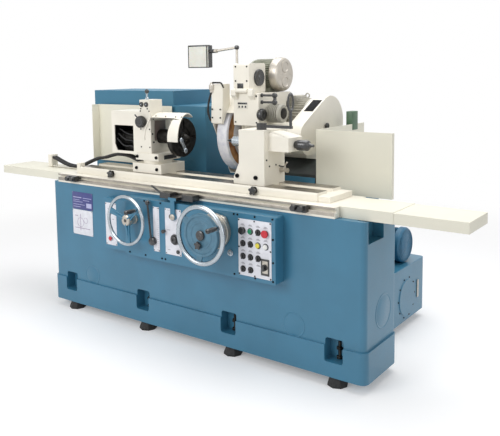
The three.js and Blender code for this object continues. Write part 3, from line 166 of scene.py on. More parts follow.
def choose(piece, kind, test):
    """Selects only the vertices, edges or faces that pass the test."""
    bpy.ops.mesh.select_mode(type=kind)
    bpy.ops.mesh.select_all(action="DESELECT")
    mesh = bmesh.from_edit_mesh(piece.data)
    for part in {"VERT": mesh.verts, "EDGE": mesh.edges, "FACE": mesh.faces}[kind]:
        part.select_set(test(part))
    mesh.select_flush_mode()
    bmesh.update_edit_mesh(piece.data)


def clean():
    """In edit mode, merges doubled points and turns every face outward."""
    bpy.ops.mesh.select_all(action="SELECT")
    bpy.ops.mesh.remove_doubles(threshold=WELD)
    bpy.ops.mesh.normals_make_consistent(inside=False)


def settled(piece, name):
    """Names an object and leaves it at the origin with its place in its mesh."""
    piece.name = name
    alone(piece)
    bpy.ops.object.transform_apply(location=True, rotation=True, scale=True)
    return piece


def single_point(name, point):
    """A scrap of mesh for chain to draw from."""
    bpy.ops.object.select_all(action="DESELECT")
    bpy.ops.mesh.primitive_plane_add(size=MM, location=point)
    return settled(bpy.context.object, name)


def chain(points, close=False):
    """In edit mode, draws edges from the one merged vertex on through the points."""
    bpy.ops.mesh.merge(type="CENTER")
    for before, after in pairwise(points):
        bpy.ops.mesh.extrude_region_move(TRANSFORM_OT_translate={"value": after - before})
    if close:
        bpy.ops.mesh.select_all(action="SELECT")
        bpy.ops.mesh.edge_face_add()


def turned(name, centre, axis, profile, steps=48):
    """Turns (radius, distance along the axis) pairs about the axis through centre."""
    pivot = place(*centre)
    out = UP if abs(axis.z) < 0.5 else RIGHT
    points = [pivot + (out * radius + axis * along) * MM for radius, along in profile]
    piece = single_point(name, points[0])
    with editing(piece):
        chain(points)
        bpy.ops.mesh.select_all(action="SELECT")
        bpy.ops.mesh.spin(steps=steps, angle=math.tau, center=pivot, axis=axis)
        clean()
    return piece


def hoop(name, centre, axis, radius, tube, steps=72, sides=14):
    """A round bar bent into a ring."""
    arc = [math.tau * i / sides for i in range(sides + 1)]
    profile = [(radius + tube * math.cos(a), tube * math.sin(a)) for a in arc]
    return turned(name, centre, axis, profile, steps)


def prism(name, outline, thrust):
    """Closes an outline with a face and pushes it out by thrust."""
    points = [place(*p) for p in outline]
    piece = single_point(name, points[0])
    with editing(piece):
        chain(points, close=True)
        bpy.ops.mesh.extrude_region_move(TRANSFORM_OT_translate={"value": Vector(thrust) * MM})
        clean()
    return piece


def bevelled(piece, width, segments=2, test=None):
    """Rounds a piece's edges, or only those that pass the test."""
    with editing(piece):
        if test:
            choose(piece, "EDGE", test)
        bpy.ops.mesh.bevel(offset=width * MM, segments=segments, affect="EDGES")
    return piece


def slab(name, low, high, bevel=1, segments=2):
    """A box between two corners, with its edges rounded."""
    low, high = place(*low), place(*high)
    bpy.ops.object.select_all(action="DESELECT")
    bpy.ops.mesh.primitive_cube_add(size=1, location=(low + high) / 2, scale=high - low)
    piece = settled(bpy.context.object, name)
    return bevelled(piece, bevel, segments) if bevel else piece


def rod(name, points, radius, bend=0):
    """A round bar through the points, with its inner corners bent to a radius of about bend."""
    points = [place(*p) for p in points]
    piece = single_point(name, points[0])
    with editing(piece):
        chain(points)
        if bend:
            choose(piece, "VERT", lambda v: len(v.link_edges) == 2)
            bpy.ops.mesh.bevel(offset=bend * MM, segments=8, affect="VERTICES")
    alone(piece)
    bpy.ops.object.convert(target="CURVE")
    piece.data.bevel_depth = radius * MM
    piece.data.bevel_resolution = 4
    piece.data.use_fill_caps = True
    return meshed(piece)


def meshed(line):
    """Turns a thickened curve into a clean mesh."""
    alone(line)
    bpy.ops.object.convert(target="MESH")
    piece = bpy.context.object
    with editing(piece):
        clean()
    return piece


def joined(name, *pieces):
    """Makes one object of several."""
    alone(*pieces)
    bpy.ops.object.join()
    piece = bpy.context.object
    piece.name = name
    return piece


def copied(piece, name, matrix):
    """A moved copy of a piece, with its own mesh."""
    twin = piece.copy()
    twin.data = piece.data.copy()
    twin.name = name
    bpy.context.scene.collection.objects.link(twin)
    twin.data.transform(matrix)
    return twin


def multiplied(name, piece, matrices):
    """Joins copies of a piece, one for each matrix, in its stead."""
    copies = [copied(piece, name, matrix) for matrix in matrices]
    bpy.data.objects.remove(piece)
    return joined(name, *copies)


def repeated(name, piece, shifts):
    """Joins copies of a piece, each moved by its shift; the first shift is the piece's own."""
    return multiplied(name, piece, [Matrix.Translation(Vector(s) * MM) for s in shifts])


def around(piece, name, centre, axis, count, start=0):
    """Joins count copies of a piece, turned evenly about the axis through centre."""
    pivot = Matrix.Translation(place(*centre))
    turns = [Matrix.Rotation(start + math.tau * i / count, 4, axis) for i in range(count)]
    return multiplied(name, piece, [pivot @ turn @ pivot.inverted() for turn in turns])


def cut(piece, *tools):
    """Takes the tools' shapes out of a piece."""
    for tool in tools:
        trim = piece.modifiers.new("cut", "BOOLEAN")
        trim.object = tool
        trim.solver = "EXACT"
        alone(piece)
        bpy.ops.object.modifier_apply(modifier=trim.name)
        bpy.data.objects.remove(tool)
    return piece


def sharper(degrees):
    """A test for edges whose faces meet at more than an angle."""
    return lambda edge: edge.calc_face_angle(0) > math.radians(degrees)


def finished(piece, kind, body, nodes=(), angle=35):
    """Gives a piece its finish, shading and body, and hides the nodes that it stands for."""
    piece.data.materials.clear()
    piece.data.materials.append(surface(kind))
    alone(piece)
    bpy.ops.object.shade_smooth_by_angle(angle=math.radians(angle))
    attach(piece, body)
    if nodes:
        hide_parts(*nodes)
    return piece


def stands_for(node, piece, kind):
    """Finishes a piece in a CAD node's stead."""
    return finished(piece, kind, BODIES[node], [node])


def fitting(name, centre, axis, profile, kind, body, steps=48):
    """A small turned piece, finished and on its body."""
    return finished(turned(name, centre, axis, profile, steps), kind, body)


def dressed(node, width, kind, second=None, test=None, drop=None, trims=()):
    """Rounds a copy of a CAD node's edges and gives it its finish. Faces that pass the test take the second one.

    Faces that pass the drop test are taken off first, their hole is closed, and the trims' shapes are cut away.
    """
    source = frame["nodes"][node]
    piece = source.copy()
    piece.data = source.data.copy()
    piece.name = f"{node}_finished"
    del piece["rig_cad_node"]
    piece.parent = None
    bpy.context.scene.collection.objects.link(piece)
    with editing(piece):
        bpy.ops.mesh.remove_doubles(threshold=WELD)
        bpy.ops.mesh.dissolve_limited(angle_limit=math.radians(0.5))
        if drop:
            choose(piece, "FACE", lambda f: drop(Vector(measured(f.calc_center_median()))))
            bpy.ops.mesh.delete(type="FACE")
            bpy.ops.mesh.select_all(action="SELECT")
            bpy.ops.mesh.fill_holes(sides=0)
            bpy.ops.mesh.select_all(action="SELECT")
        bpy.ops.mesh.normals_make_consistent(inside=False)
    cut(piece, *trims)
    rounding = piece.modifiers.new("edges", "BEVEL")
    rounding.width = width * MM
    rounding.segments = 2
    rounding.limit_method = "ANGLE"
    rounding.angle_limit = math.radians(32)
    rounding.use_clamp_overlap = True
    alone(piece)
    bpy.ops.object.modifier_apply(modifier=rounding.name)
    stands_for(node, piece, kind)
    if second:
        piece.data.materials.append(surface(second))
        for face in piece.data.polygons:
            face.material_index = int(test(Vector(measured(face.center)), face.normal))
    weighted = piece.modifiers.new("normals", "WEIGHTED_NORMAL")
    weighted.keep_sharp = True
    alone(piece)
    bpy.ops.object.modifier_apply(modifier=weighted.name)
    return piece


# Colours and finishes

def linear(text):
    """The linear colour of an sRGB hex value."""
    parts = [int(text[i:i + 2], 16) / 255 for i in (1, 3, 5)]
    return (*(p / 12.92 if p <= 0.04045 else ((p + 0.055) / 1.055) ** 2.4 for p in parts), 1.0)


def darker(colour, share):
    """A colour with only a share of its light."""
    return (*(c * share for c in colour[:3]), 1.0)


def per_metre(size):
    """A texture scale whose cells are size millimetres across."""
    return 1000 / size


def add(tree, kind, inputs=None, **settings):
    """Adds a node, sets its fields, and sets or links its sockets."""
    made = tree.nodes.new(kind)
    for field, value in settings.items():
        setattr(made, field, value)
    for key, value in (inputs or {}).items():
        if isinstance(value, bpy.types.NodeSocket):
            tree.links.new(value, made.inputs[key])
        else:
            made.inputs[key].default_value = value
    return made


class Surface(NamedTuple):
    """What a real surface shows the eye: a tone that drifts, and a grain that also swings its roughness."""
    name: str
    slot: str
    tone: str  # an sRGB hex value, or the name of a colour setting
    drift: object  # the tone it drifts to: a share of the first, or a hex value
    patch: float  # millimetres over which it drifts
    grain: tuple  # size and depth in millimetres, and the bump's strength
    gloss: tuple  # the least and the most roughness
    steady: dict  # the shader's other values
    stretch: tuple = (1, 1, 1)  # of the grain, along each axis
    start: float = 1  # share of the tone that it drifts from


METAL = {"Metallic": 1.0}
SURFACES = {
    # Two-pack machine enamel, sprayed over a filled casting: a soft gloss, faint orange peel and handling haze
    "blue_enamel": Surface("sprayed_blue_enamel", "blue_paint", "blue", 0.88, 240, (5, 0.12, 0.25), (0.32, 0.44),
                           {"IOR": 1.5, "Coat Weight": 0.25, "Coat Roughness": 0.2}),
    # The same paint in cream: warm, slightly uneven in tone, with a lower gloss
    "cream_enamel": Surface("sprayed_cream_enamel", "cream_paint", "cream", 0.93, 180, (4, 0.1, 0.25), (0.36, 0.48),
                            {"IOR": 1.5, "Coat Weight": 0.2, "Coat Roughness": 0.25}),
    # Surface-ground steel: long fine lines along the table, which stretch its reflections across them
    "ground_steel": Surface("ground_steel", "bright_steel", "#b3aca2", 0.7, 60, (1.5, 0.05, 0.4), (0.22, 0.42),
                            METAL, (0.02, 1, 1)),
    # Polished and chromed steel: bright and sharp, with a faint ripple from the buff
    "chromed_steel": Surface("chromed_steel", "bright_steel", "#b4bcc2", 0.85, 40, (14, 0.05, 0.15), (0.18, 0.28),
                             METAL),
    # Aluminium turned on a lathe: fine rings round the axis and a soft bright sheen
    "turned_aluminium": Surface("turned_aluminium", "bright_aluminium", "#c3bdb3", 0.88, 20, (2, 0.04, 0.3),
                                (0.32, 0.46), METAL | {"Anisotropic": 0.5}, (1, 0.06, 0.06)),
    # Machined cast iron under oil: dark grey, mottled where the oil film breaks
    "dark_iron": Surface("oiled_cast_iron", "black_iron", "#3c3b39", 0.45, 25, (2, 0.08, 0.4), (0.32, 0.55), METAL),
    # Blackened steel, as on socket screws: near black, with grey showing through where tools touch it
    "black_oxide": Surface("black_oxide_steel", "black_iron", "#2b2c2e", 0.4, 6, (1.2, 0.04, 0.3), (0.3, 0.5), METAL),
    # Compression-moulded phenolic: deep black and glossy, dulled in places by hands
    "black_phenolic": Surface("moulded_black_phenolic", "black_plastic", "#17181a", "#232426", 18, (3, 0.05, 0.25),
                              (0.2, 0.4), {"IOR": 1.6, "Coat Weight": 0.4, "Coat Roughness": 0.12}),
    # Vitrified white aluminium oxide: matt, with open pores between the grains, drawn at 2 mm to show
    "abrasive": Surface("vitrified_white_abrasive", "abrasive", "#f1f1f4", "#dcdde6", 30, (2, 0.4, 0.6), (0.85, 0.98),
                        {"IOR": 1.76}),
    # Pressed brown blotter paper on the wheel's sides: matt and fibrous, darker where coolant soaked in. Its brown also
    # stands in for a painted reflection, the brown band near the rim of the wheel's right face
    "blotter_paper": Surface("brown_blotter_and_painted_reflection", "abrasive", "#b98a5c", "#7d5435", 60, (1.5, 0.1, 0.4), (0.8, 0.95),
                             {"IOR": 1.45}),
    # Neoprene-coated cloth of the way bellows: dark green-black, matt, its weave drawn at 3 mm to just show
    "coated_cloth": Surface("neoprene_coated_cloth", "black_rubber", "#232b28", "#141817", 70, (3, 0.25, 0.5),
                            (0.55, 0.8), {"IOR": 1.52, "Sheen Weight": 0.2}),
    # Moulded black rubber: matt, grey with dust on its raised parts
    "rubber": Surface("moulded_rubber", "black_rubber", "#2a2a2b", "#171718", 15, (2, 0.1, 0.4), (0.6, 0.85),
                      {"IOR": 1.52}),
    # Frosted acrylic lamp face: pale and milky, with a satin skin
    "frosted_acrylic": Surface("frosted_acrylic", "white_plastic", "#efeae2", "#e2dbd0", 90, (2, 0.05, 0.2),
                               (0.35, 0.5), {"IOR": 1.49, "Subsurface Weight": 0.15}),
}
# Powder-coated sheet steel: flat panels with the fine pebble that the baked powder leaves
SURFACES |= {shade: Surface(
    f"powder_coated_{shade}_sheet", shade, shade, 0.9, 400, (2.5, 0.08, 0.35), (0.42, 0.55), {"IOR": 1.5}, start=0.98)
    for shade in ("blue_sheet", "cream_sheet")}
# Injection-moulded ABS, as on button caps: even colour with a satin skin
SURFACES |= {f"{shade}_abs": Surface(
    f"moulded_{shade}_abs", "white_plastic", shade, 0.85, 12, (1.5, 0.03, 0.25), (0.25, 0.38), {"IOR": 1.54})
    for shade in ("red", "green", "yellow", "white")}
# Lacquered aluminium label plate: a flat satin colour with the faint streaks of its roller coat
SURFACES |= {f"{shade}_plate": Surface(
    f"lacquered_{shade}_plate", slot, tone, 0.9, 30, (2, 0.03, 0.2), (0.3, 0.42), {"IOR": 1.5}, (0.1, 1, 1))
    for shade, slot, tone in (
        ("white", "white_plastic", "#e6e7ee"), ("grey", "black_plastic", "#9a9ba2"),
        ("violet", "black_plastic", "#454a86"), ("pale", "white_plastic", "#b9bbe0"),
        ("mauve", "black_plastic", "#8c6f98"), ("ivory", "white_plastic", "#e8e4d8"),
        ("brown", "black_plastic", "#857873"))}
# Air-drying enamel brushed over a motor's housing: satin, with dust between the fins
SURFACES |= {f"{shade}_motor": Surface(
    f"{shade}_motor_enamel", slot, tone, 0.78, 45, (4, 0.15, 0.35), (0.36, 0.52), {"IOR": 1.5})
    for shade, slot, tone in (
        ("blue_grey", "blue_paint", "#547f96"), ("grey", "motor_grey", "#aba89d"), ("pale", "motor_grey", "#cbc8bd"),
        ("green_grey", "motor_grey", "#a9ab9c"), ("blue", "blue_paint", "#2b6c8e"), ("green", "motor_grey", "#4f6f55"))}


def blank(name, steady):
    """A new material with a Principled shader, its steady values and the object's own coordinates."""
    material = bpy.data.materials.new(name)
    material.use_nodes = True
    tree = material.node_tree
    shader = tree.nodes["Principled BSDF"]
    for key, value in steady.items():
        shader.inputs[key].default_value = value
    return material, tree, shader, add(tree, "ShaderNodeTexCoord").outputs["Object"]


@functools.cache
def surface(kind):
    """The material of a surface, made once."""
    look = SURFACES[kind]
    material, tree, shader, coords = blank(look.name, look.steady)
    tone = linear(look.tone) if look.tone.startswith("#") else getattr(bpy.context.scene.grinder_colours, look.tone)
    light = darker(tone, look.start)
    dark = linear(look.drift) if isinstance(look.drift, str) else darker(tone, look.drift)
    cloud = add(tree, "ShaderNodeTexNoise", {"Vector": coords, "Scale": per_metre(look.patch), "Detail": 4.0})
    fade = add(tree, "ShaderNodeMapRange", {"Value": cloud.outputs["Fac"], "From Min": 0.35, "From Max": 0.65})
    tones = add(tree, "ShaderNodeMix", {0: fade.outputs[0], 6: light, 7: dark}, data_type="RGBA")
    tree.links.new(tones.outputs[2], shader.inputs["Base Color"])
    size, depth, strength = look.grain
    scaled = add(tree, "ShaderNodeMapping", {"Vector": coords, "Scale": look.stretch})
    noise = add(tree, "ShaderNodeTexNoise",
                {"Vector": scaled.outputs[0], "Scale": per_metre(size), "Detail": 3.0})
    bump = add(tree, "ShaderNodeBump",
               {"Height": noise.outputs["Fac"], "Strength": strength, "Distance": depth * MM})
    tree.links.new(bump.outputs[0], shader.inputs["Normal"])
    sheen = add(tree, "ShaderNodeMapRange", {
        "Value": noise.outputs["Fac"], "From Min": 0.3, "From Max": 0.7, "To Min": look.gloss[0],
        "To Max": look.gloss[1]})
    tree.links.new(sheen.outputs[0], shader.inputs["Roughness"])
    return material


def colour_setting(name, description, text):
    """A colour that a user may change, from an sRGB hex value."""
    return bpy.props.FloatVectorProperty(
        name=name, description=description, subtype="COLOR", size=4, default=linear(text))


class FinishColours(bpy.types.PropertyGroup):
    """Colours of the paints and plastics."""
    blue: colour_setting("Blue", "Enamel of the bed and apron", "#3a7896")
    cream: colour_setting("Cream", "Enamel of the heads and table", "#f1ecdf")
    blue_sheet: colour_setting("Blue sheet", "Powder coat of the cabinet", "#3b7793")
    cream_sheet: colour_setting("Cream sheet", "Powder coat of the guards", "#eae7d7")
    red: colour_setting("Red", "Stop button cap", "#cc2233")
    green: colour_setting("Green", "Start button cap", "#1f8a5f")
    yellow: colour_setting("Yellow", "Yellow button cap", "#e6d84a")
    white: colour_setting("White", "White button cap", "#f1f1ec")


class StudioSettings(bpy.types.PropertyGroup):
    """Camera and light."""
    lens: bpy.props.FloatProperty(name="Lens", description="Focal length on a 36 mm frame", default=48.43)
    yaw: bpy.props.FloatProperty(name="Yaw", description="Turn of the view about the vertical", default=0.6369)
    pitch: bpy.props.FloatProperty(name="Pitch", description="Tilt of the view below the level", default=0.10472)
    roll: bpy.props.FloatProperty(name="Roll", description="Roll of the view", default=-0.0127)
    eye: bpy.props.FloatVectorProperty(
        name="Eye", description="Camera's place, in metres", subtype="XYZ", size=3, default=(2.60645, -3.30245, 1.5733))
    key_power: bpy.props.FloatProperty(
        name="Key light", description="Power of the front lamp", default=140, unit="POWER")
    top_power: bpy.props.FloatProperty(
        name="Top light", description="Power of the top lamp", default=150, unit="POWER")
    side_power: bpy.props.FloatProperty(
        name="Side light", description="Power of the side lamp", default=24, unit="POWER")
    room: bpy.props.FloatProperty(
        name="Room light", description="Strength of the light from all round", default=0.45)


class PanelSizes(bpy.types.PropertyGroup):
    """Sizes of the control panel's fittings, in metres."""
    plate: bpy.props.FloatProperty(
        name="Plate", description="Thickness of the label plates", default=0.002, unit="LENGTH")
    bezel: bpy.props.FloatProperty(
        name="Bezel", description="Width of the rings round the buttons", default=0.004, unit="LENGTH")
    screw: bpy.props.FloatProperty(
        name="Screw", description="Radius of the small screw heads", default=0.0042, unit="LENGTH")


# Small parts that come back in several places

def screws(name, places, axis, body, radius=4.2, height=3, kind="black_oxide"):
    """Socket head screws of one kind on one body, each with a chamfered rim and a sunk socket."""
    places = [Vector(p) for p in places]
    head = turned(name, places[0], axis, [
        (0, height * 0.35), (radius * 0.5, height * 0.35), (radius * 0.5, height), (radius * 0.85, height),
        (radius, height * 0.75), (radius, 0)], steps=10)
    return finished(repeated(name, head, [p - places[0] for p in places]), kind, body)


def marks(face, spans, proud=0.4):
    """Flat bars that stand proud of a front face, each given by its left, bottom, width and height."""
    return [slab("mark", (x, face - proud, z), (x + wide, face, z + tall), 0.1, 1) for x, z, wide, tall in spans]


def label_plate(name, front, thick, span, kind="white_plate"):
    """A label plate on a front face, over a span of left, right, bottom and top."""
    left, right, bottom, top = span
    return finished(slab(name, (left, front - thick, bottom), (right, front, top), 0.6), kind, "base")


def push_button(node, face, kind):
    """Makes a push button's domed cap, with a collar and a thin stem behind it, and gives where it stands."""
    low, high = corners(node)
    spot, radius, tall = (low + high) / 2, (high.x - low.x) / 2, face - low.y
    waist, back, stem = min(radius - 1.5, 12), min(tall * 0.5, 8.5), 7
    profile = [(0, tall), (radius * 0.6, tall - 0.3), (radius - 1.5, tall - 1), (radius, tall - 3),
               (radius, tall * 0.6), (waist, tall * 0.55), (waist, back), (stem, back), (stem, 0), (0, 0)]
    stands_for(node, turned(f"{node}_cap", (spot.x, face, spot.z), FRONT, profile, 40), kind)
    return spot.x, spot.z


def selector(name, x, z, face):
    """A rotary selector: a round skirt with a raised finger bar."""
    skirt = turned(name, (x, face, z), FRONT, [(0, 8), (11, 8), (13, 6.5), (14, 2), (14, 0.3), (0, 0.3)], 32)
    return joined(name, skirt, slab(name, (x - 4, face - 17, z - 13), (x + 4, face - 6, z + 13), 2))


def bezel_ring(name, x, z, face, radius):
    """The ring round a button or a selector."""
    hole = 13.6
    return turned(name, (x, face, z), FRONT, [
        (hole, 0.2), (radius, 0.2), (radius, 2.2), (radius - 1.2, 3), (14.2, 3), (hole, 2.4), (hole, 0.2)], 28)


def star_knob(name, point, radius, height, lobes=5):
    """A lobed clamping knob on a front face: a stem, a round core and lobes spaced evenly round it."""
    wide, thin = radius * 0.72, radius * 0.3
    core = turned(name, point, FRONT, [
        (0, height), (radius * 0.55, height), (wide, height - 3), (wide, height * 0.45), (thin, height * 0.35),
        (thin, 0.2), (0, 0.2)], 30)
    lobe = turned(name, Vector(point) + UP * wide, FRONT, [
        (0, height), (radius * 0.2, height), (thin, height - 3), (thin, height * 0.5), (0, height * 0.45)], 16)
    return joined(name, core, around(lobe, name, point, FRONT, lobes))


def ribbed_knob(name, centre, axis, profile, rib, count):
    """A turned knob with ribs round it, each a box between two corners given from the centre."""
    knob = turned(name, centre, axis, profile)
    low, high, bevel = rib
    grip = slab("rib", *shifted(centre, (low, high)), bevel, 1)
    return joined(name, knob, around(grip, "ribs", centre, axis, count))


class GRINDER_OT_castings(bpy.types.Operator):
    """Rounds the castings' edges and sprays them"""
    bl_idname = "grinder.castings"
    bl_label = "Castings"

    def execute(self, context):
        for node, width in (("bed_casting", 4), ("wheelhead_bed", 4), ("hydraulic_tank", 3), ("apron_box", 3)):
            dressed(node, width, "blue_enamel")
        for node, width in (("wheelhead_saddle", 3), ("workhead_base", 3), ("belt_guard", 1.5)):
            dressed(node, width, "cream_enamel")
        dressed("internal_grinding_head", 4, "cream_enamel",
                trims=[slab("trim", (INNER_HEAD_RIGHT, 300, 1400), (1440, 600, 1700), 0)])
        dressed("wheelhead_body", 5, "cream_enamel", drop=lambda p: p.x > 1443.5 and p.z > 1255 and p.y < 520)
        dressed("wheel_guard", 1.2, "cream_enamel", trims=[slab("trim", (1209, 290, 1165), (1270, 440, 1318), 0)])
        dressed("tailstock_body", 4, "cream_enamel", drop=lambda p: p.x > 1790.5, trims=[
            slab("trim", (1662.6, 120, 1030), (1800, 280, 1138), 0),
            prism("trim", [(1664, 120, 1240.9), (1800, 120, 1210), (1800, 120, 1250)], (0, 160, 0))])
        dressed("workhead_body", 3, "cream_enamel", "black_phenolic", lambda p, n: in_housing(p),
                drop=lambda p: p.z > 1399.5 or (p.y < 109 and 715 < p.x < 785 and 1230 < p.z < 1300),
                trims=[slab("trim", (COLUMN_RIGHT + 0.3, 30, 1155), (960, 320, 1325), 0)])
        faceplate_hood()
        return {"FINISHED"}


def in_housing(p):
    """Whether a point lies on the dark inside of the workhead's belt housing."""
    return 474 < p.x < 717 and 114 < p.y < 286 and 1064 < p.z < 1322


def faceplate_hood():
    """The sheet hood that wraps the faceplate: an arch, cut back beside the column to a narrow cover."""
    outer, inner = 148, 141
    arc = [math.radians(a) for a in range(-5, 126, 5)]
    outline = [(COLUMN_RIGHT + 0.2, WORK_Y - r * math.cos(a), AXIS_Z + r * math.sin(a))
               for r, run in ((outer, arc), (inner, arc[::-1])) for a in run]
    hood = prism("faceplate_hood", outline, (264, 0, 0))
    cut(hood, slab("trim", (816, 30, 1150), (1000, 198, 1293), 0),
        prism("trim", [(1080, 60, 1100), (1000, 284, 1100), (1000, 330, 1100), (1120, 330, 1100), (1120, 60, 1100)],
              (0, 0, 300)))
    bevelled(hood, 1.5, test=sharper(30))
    finished(hood, "cream_enamel", "workhead")
    out = Vector((0, -math.cos(math.radians(60)), math.sin(math.radians(60))))
    spots = [Vector((x, WORK_Y, AXIS_Z)) + out * outer for x in (845, 925, 1005, 1050)]
    screws("hood_screws", spots, out, "workhead", 4.5, 3)


class GRINDER_OT_sheets(bpy.types.Operator):
    """Dresses the cabinet, its door and the sheet guards"""
    bl_idname = "grinder.sheets"
    bl_label = "Cabinet and guards"

    def execute(self, context):
        for node in ("electrical_cabinet", "cabinet_door"):
            dressed(node, 1.2, "blue_sheet")
        for node in ("left_splash_guard", "right_splash_guard", "left_way_cover", "right_way_cover"):
            dressed(node, 0.8, "cream_sheet")
        return {"FINISHED"}


class GRINDER_OT_table(bpy.types.Operator):
    """Dresses the table: cream sides, ground top and front strip, and the dogs"""
    bl_idname = "grinder.table"
    bl_label = "Table"

    def execute(self, context):
        top = corners("swivel_table")[0].z + 45
        dressed("lower_table", 2, "cream_enamel", "ground_steel", lambda p, n: p.y < -2 and 884 < p.z < 906)
        dressed("swivel_table", 2, "cream_enamel", "ground_steel", lambda p, n: n.z > 0.9 and abs(p.z - top) < 3,
                drop=lambda p: p.y < 66.5)
        low, high = corners("lower_table")
        strip = slab("ground_front_strip", (low.x + 2, low.y - 0.7, 862), (high.x - 2, low.y + 0.4, 882), 0.3)
        finished(strip, "ground_steel", "table")
        for node in ("left_trip_dog", "right_trip_dog"):
            dressed(node, 2, "black_phenolic")
        return {"FINISHED"}


class GRINDER_OT_control_panel(bpy.types.Operator):
    """Makes the control panel: white plate, screws, blank labels, bezels, buttons and switches"""
    bl_idname = "grinder.control_panel"
    bl_label = "Control panel"

    def execute(self, context):
        sizes = context.scene.grinder_panel
        thick, ring = sizes.plate / MM, 13 + sizes.bezel / MM
        face = APRON_FACE - thick
        label_plate("control_plate", APRON_FACE, thick, (1611, 1819, 506, 806))
        spots = [*product((1616, 1715, 1814), [face], (800, 512)), *product((1616, 1814), [face], [656])]
        screws("control_plate_screws", spots, FRONT, "base", sizes.screw / MM)
        columns, rows = (1641, 1689, 1737, 1785), (745, 677, 609, 541)
        ringed = [push_button(node, face, kind) for node, kind in (
            ("black_button", "black_phenolic"), ("green_button", "green_abs"), ("emergency_stop_button", "red_abs"),
            ("yellow_button", "yellow_abs"), ("white_button", "white_abs"))]
        for node in ("selector_switch_1", "selector_switch_2"):
            spot = middle(node)
            ringed.append((spot.x, spot.z))
            stands_for(node, selector(f"{node}_knob", spot.x, spot.z, face), "black_phenolic")
        fixed = [(columns[i], rows[j]) for i, j in ((2, 0), (0, 2), (1, 2), (2, 2), (0, 3), (1, 3))]
        for i, spot in enumerate(fixed):
            finished(selector(f"control_switch_{i + 1}", *spot, face), "black_phenolic", "base")
        rings = [bezel_ring(f"bezel_{i}", *spot, face, ring) for i, spot in enumerate(ringed + fixed)]
        finished(joined("control_bezels", *rings), "black_oxide", "base")
        # The main switch fills the last column's two lower places
        spans = [span for x, z in product(columns, rows) if x < columns[3] or z > rows[2]
                 for span in ((x - 13, z + 27, 26, 3), (x - 8, z + 32, 16, 3))]
        finished(joined("control_labels", *marks(face, spans, 0.5)), "grey_plate", "base")
        self.main_switch(face)
        return {"FINISHED"}

    def main_switch(self, face):
        """A black frame round a bright plate with a turning handle."""
        surround = slab("main_switch_frame", (1755, face - 4, 526), (1806, face + 0.2, 613), 1.5)
        window = slab("window", (1763, face - 8, 537), (1798, face - 2.6, 603), 1)
        finished(cut(surround, window), "black_phenolic", "base")
        plate = slab("main_switch_plate", (1763.4, face - 3, 537.4), (1797.6, face - 2, 602.6), 0.3)
        finished(plate, "turned_aluminium", "base")
        spot, low = middle("main_switch"), corners("main_switch")[0]
        knob = turned("main_switch_handle", (spot.x, face, spot.z), FRONT,
                      [(0, 8), (15, 8), (17, 6), (17, 3.2), (0, 3.2)], 40)
        grip = slab("grip", (spot.x - 5.5, low.y, spot.z - 17), (spot.x + 5.5, face - 7, spot.z + 17), 2.5)
        stands_for("main_switch", joined("main_switch_handle", knob, grip), "black_phenolic")


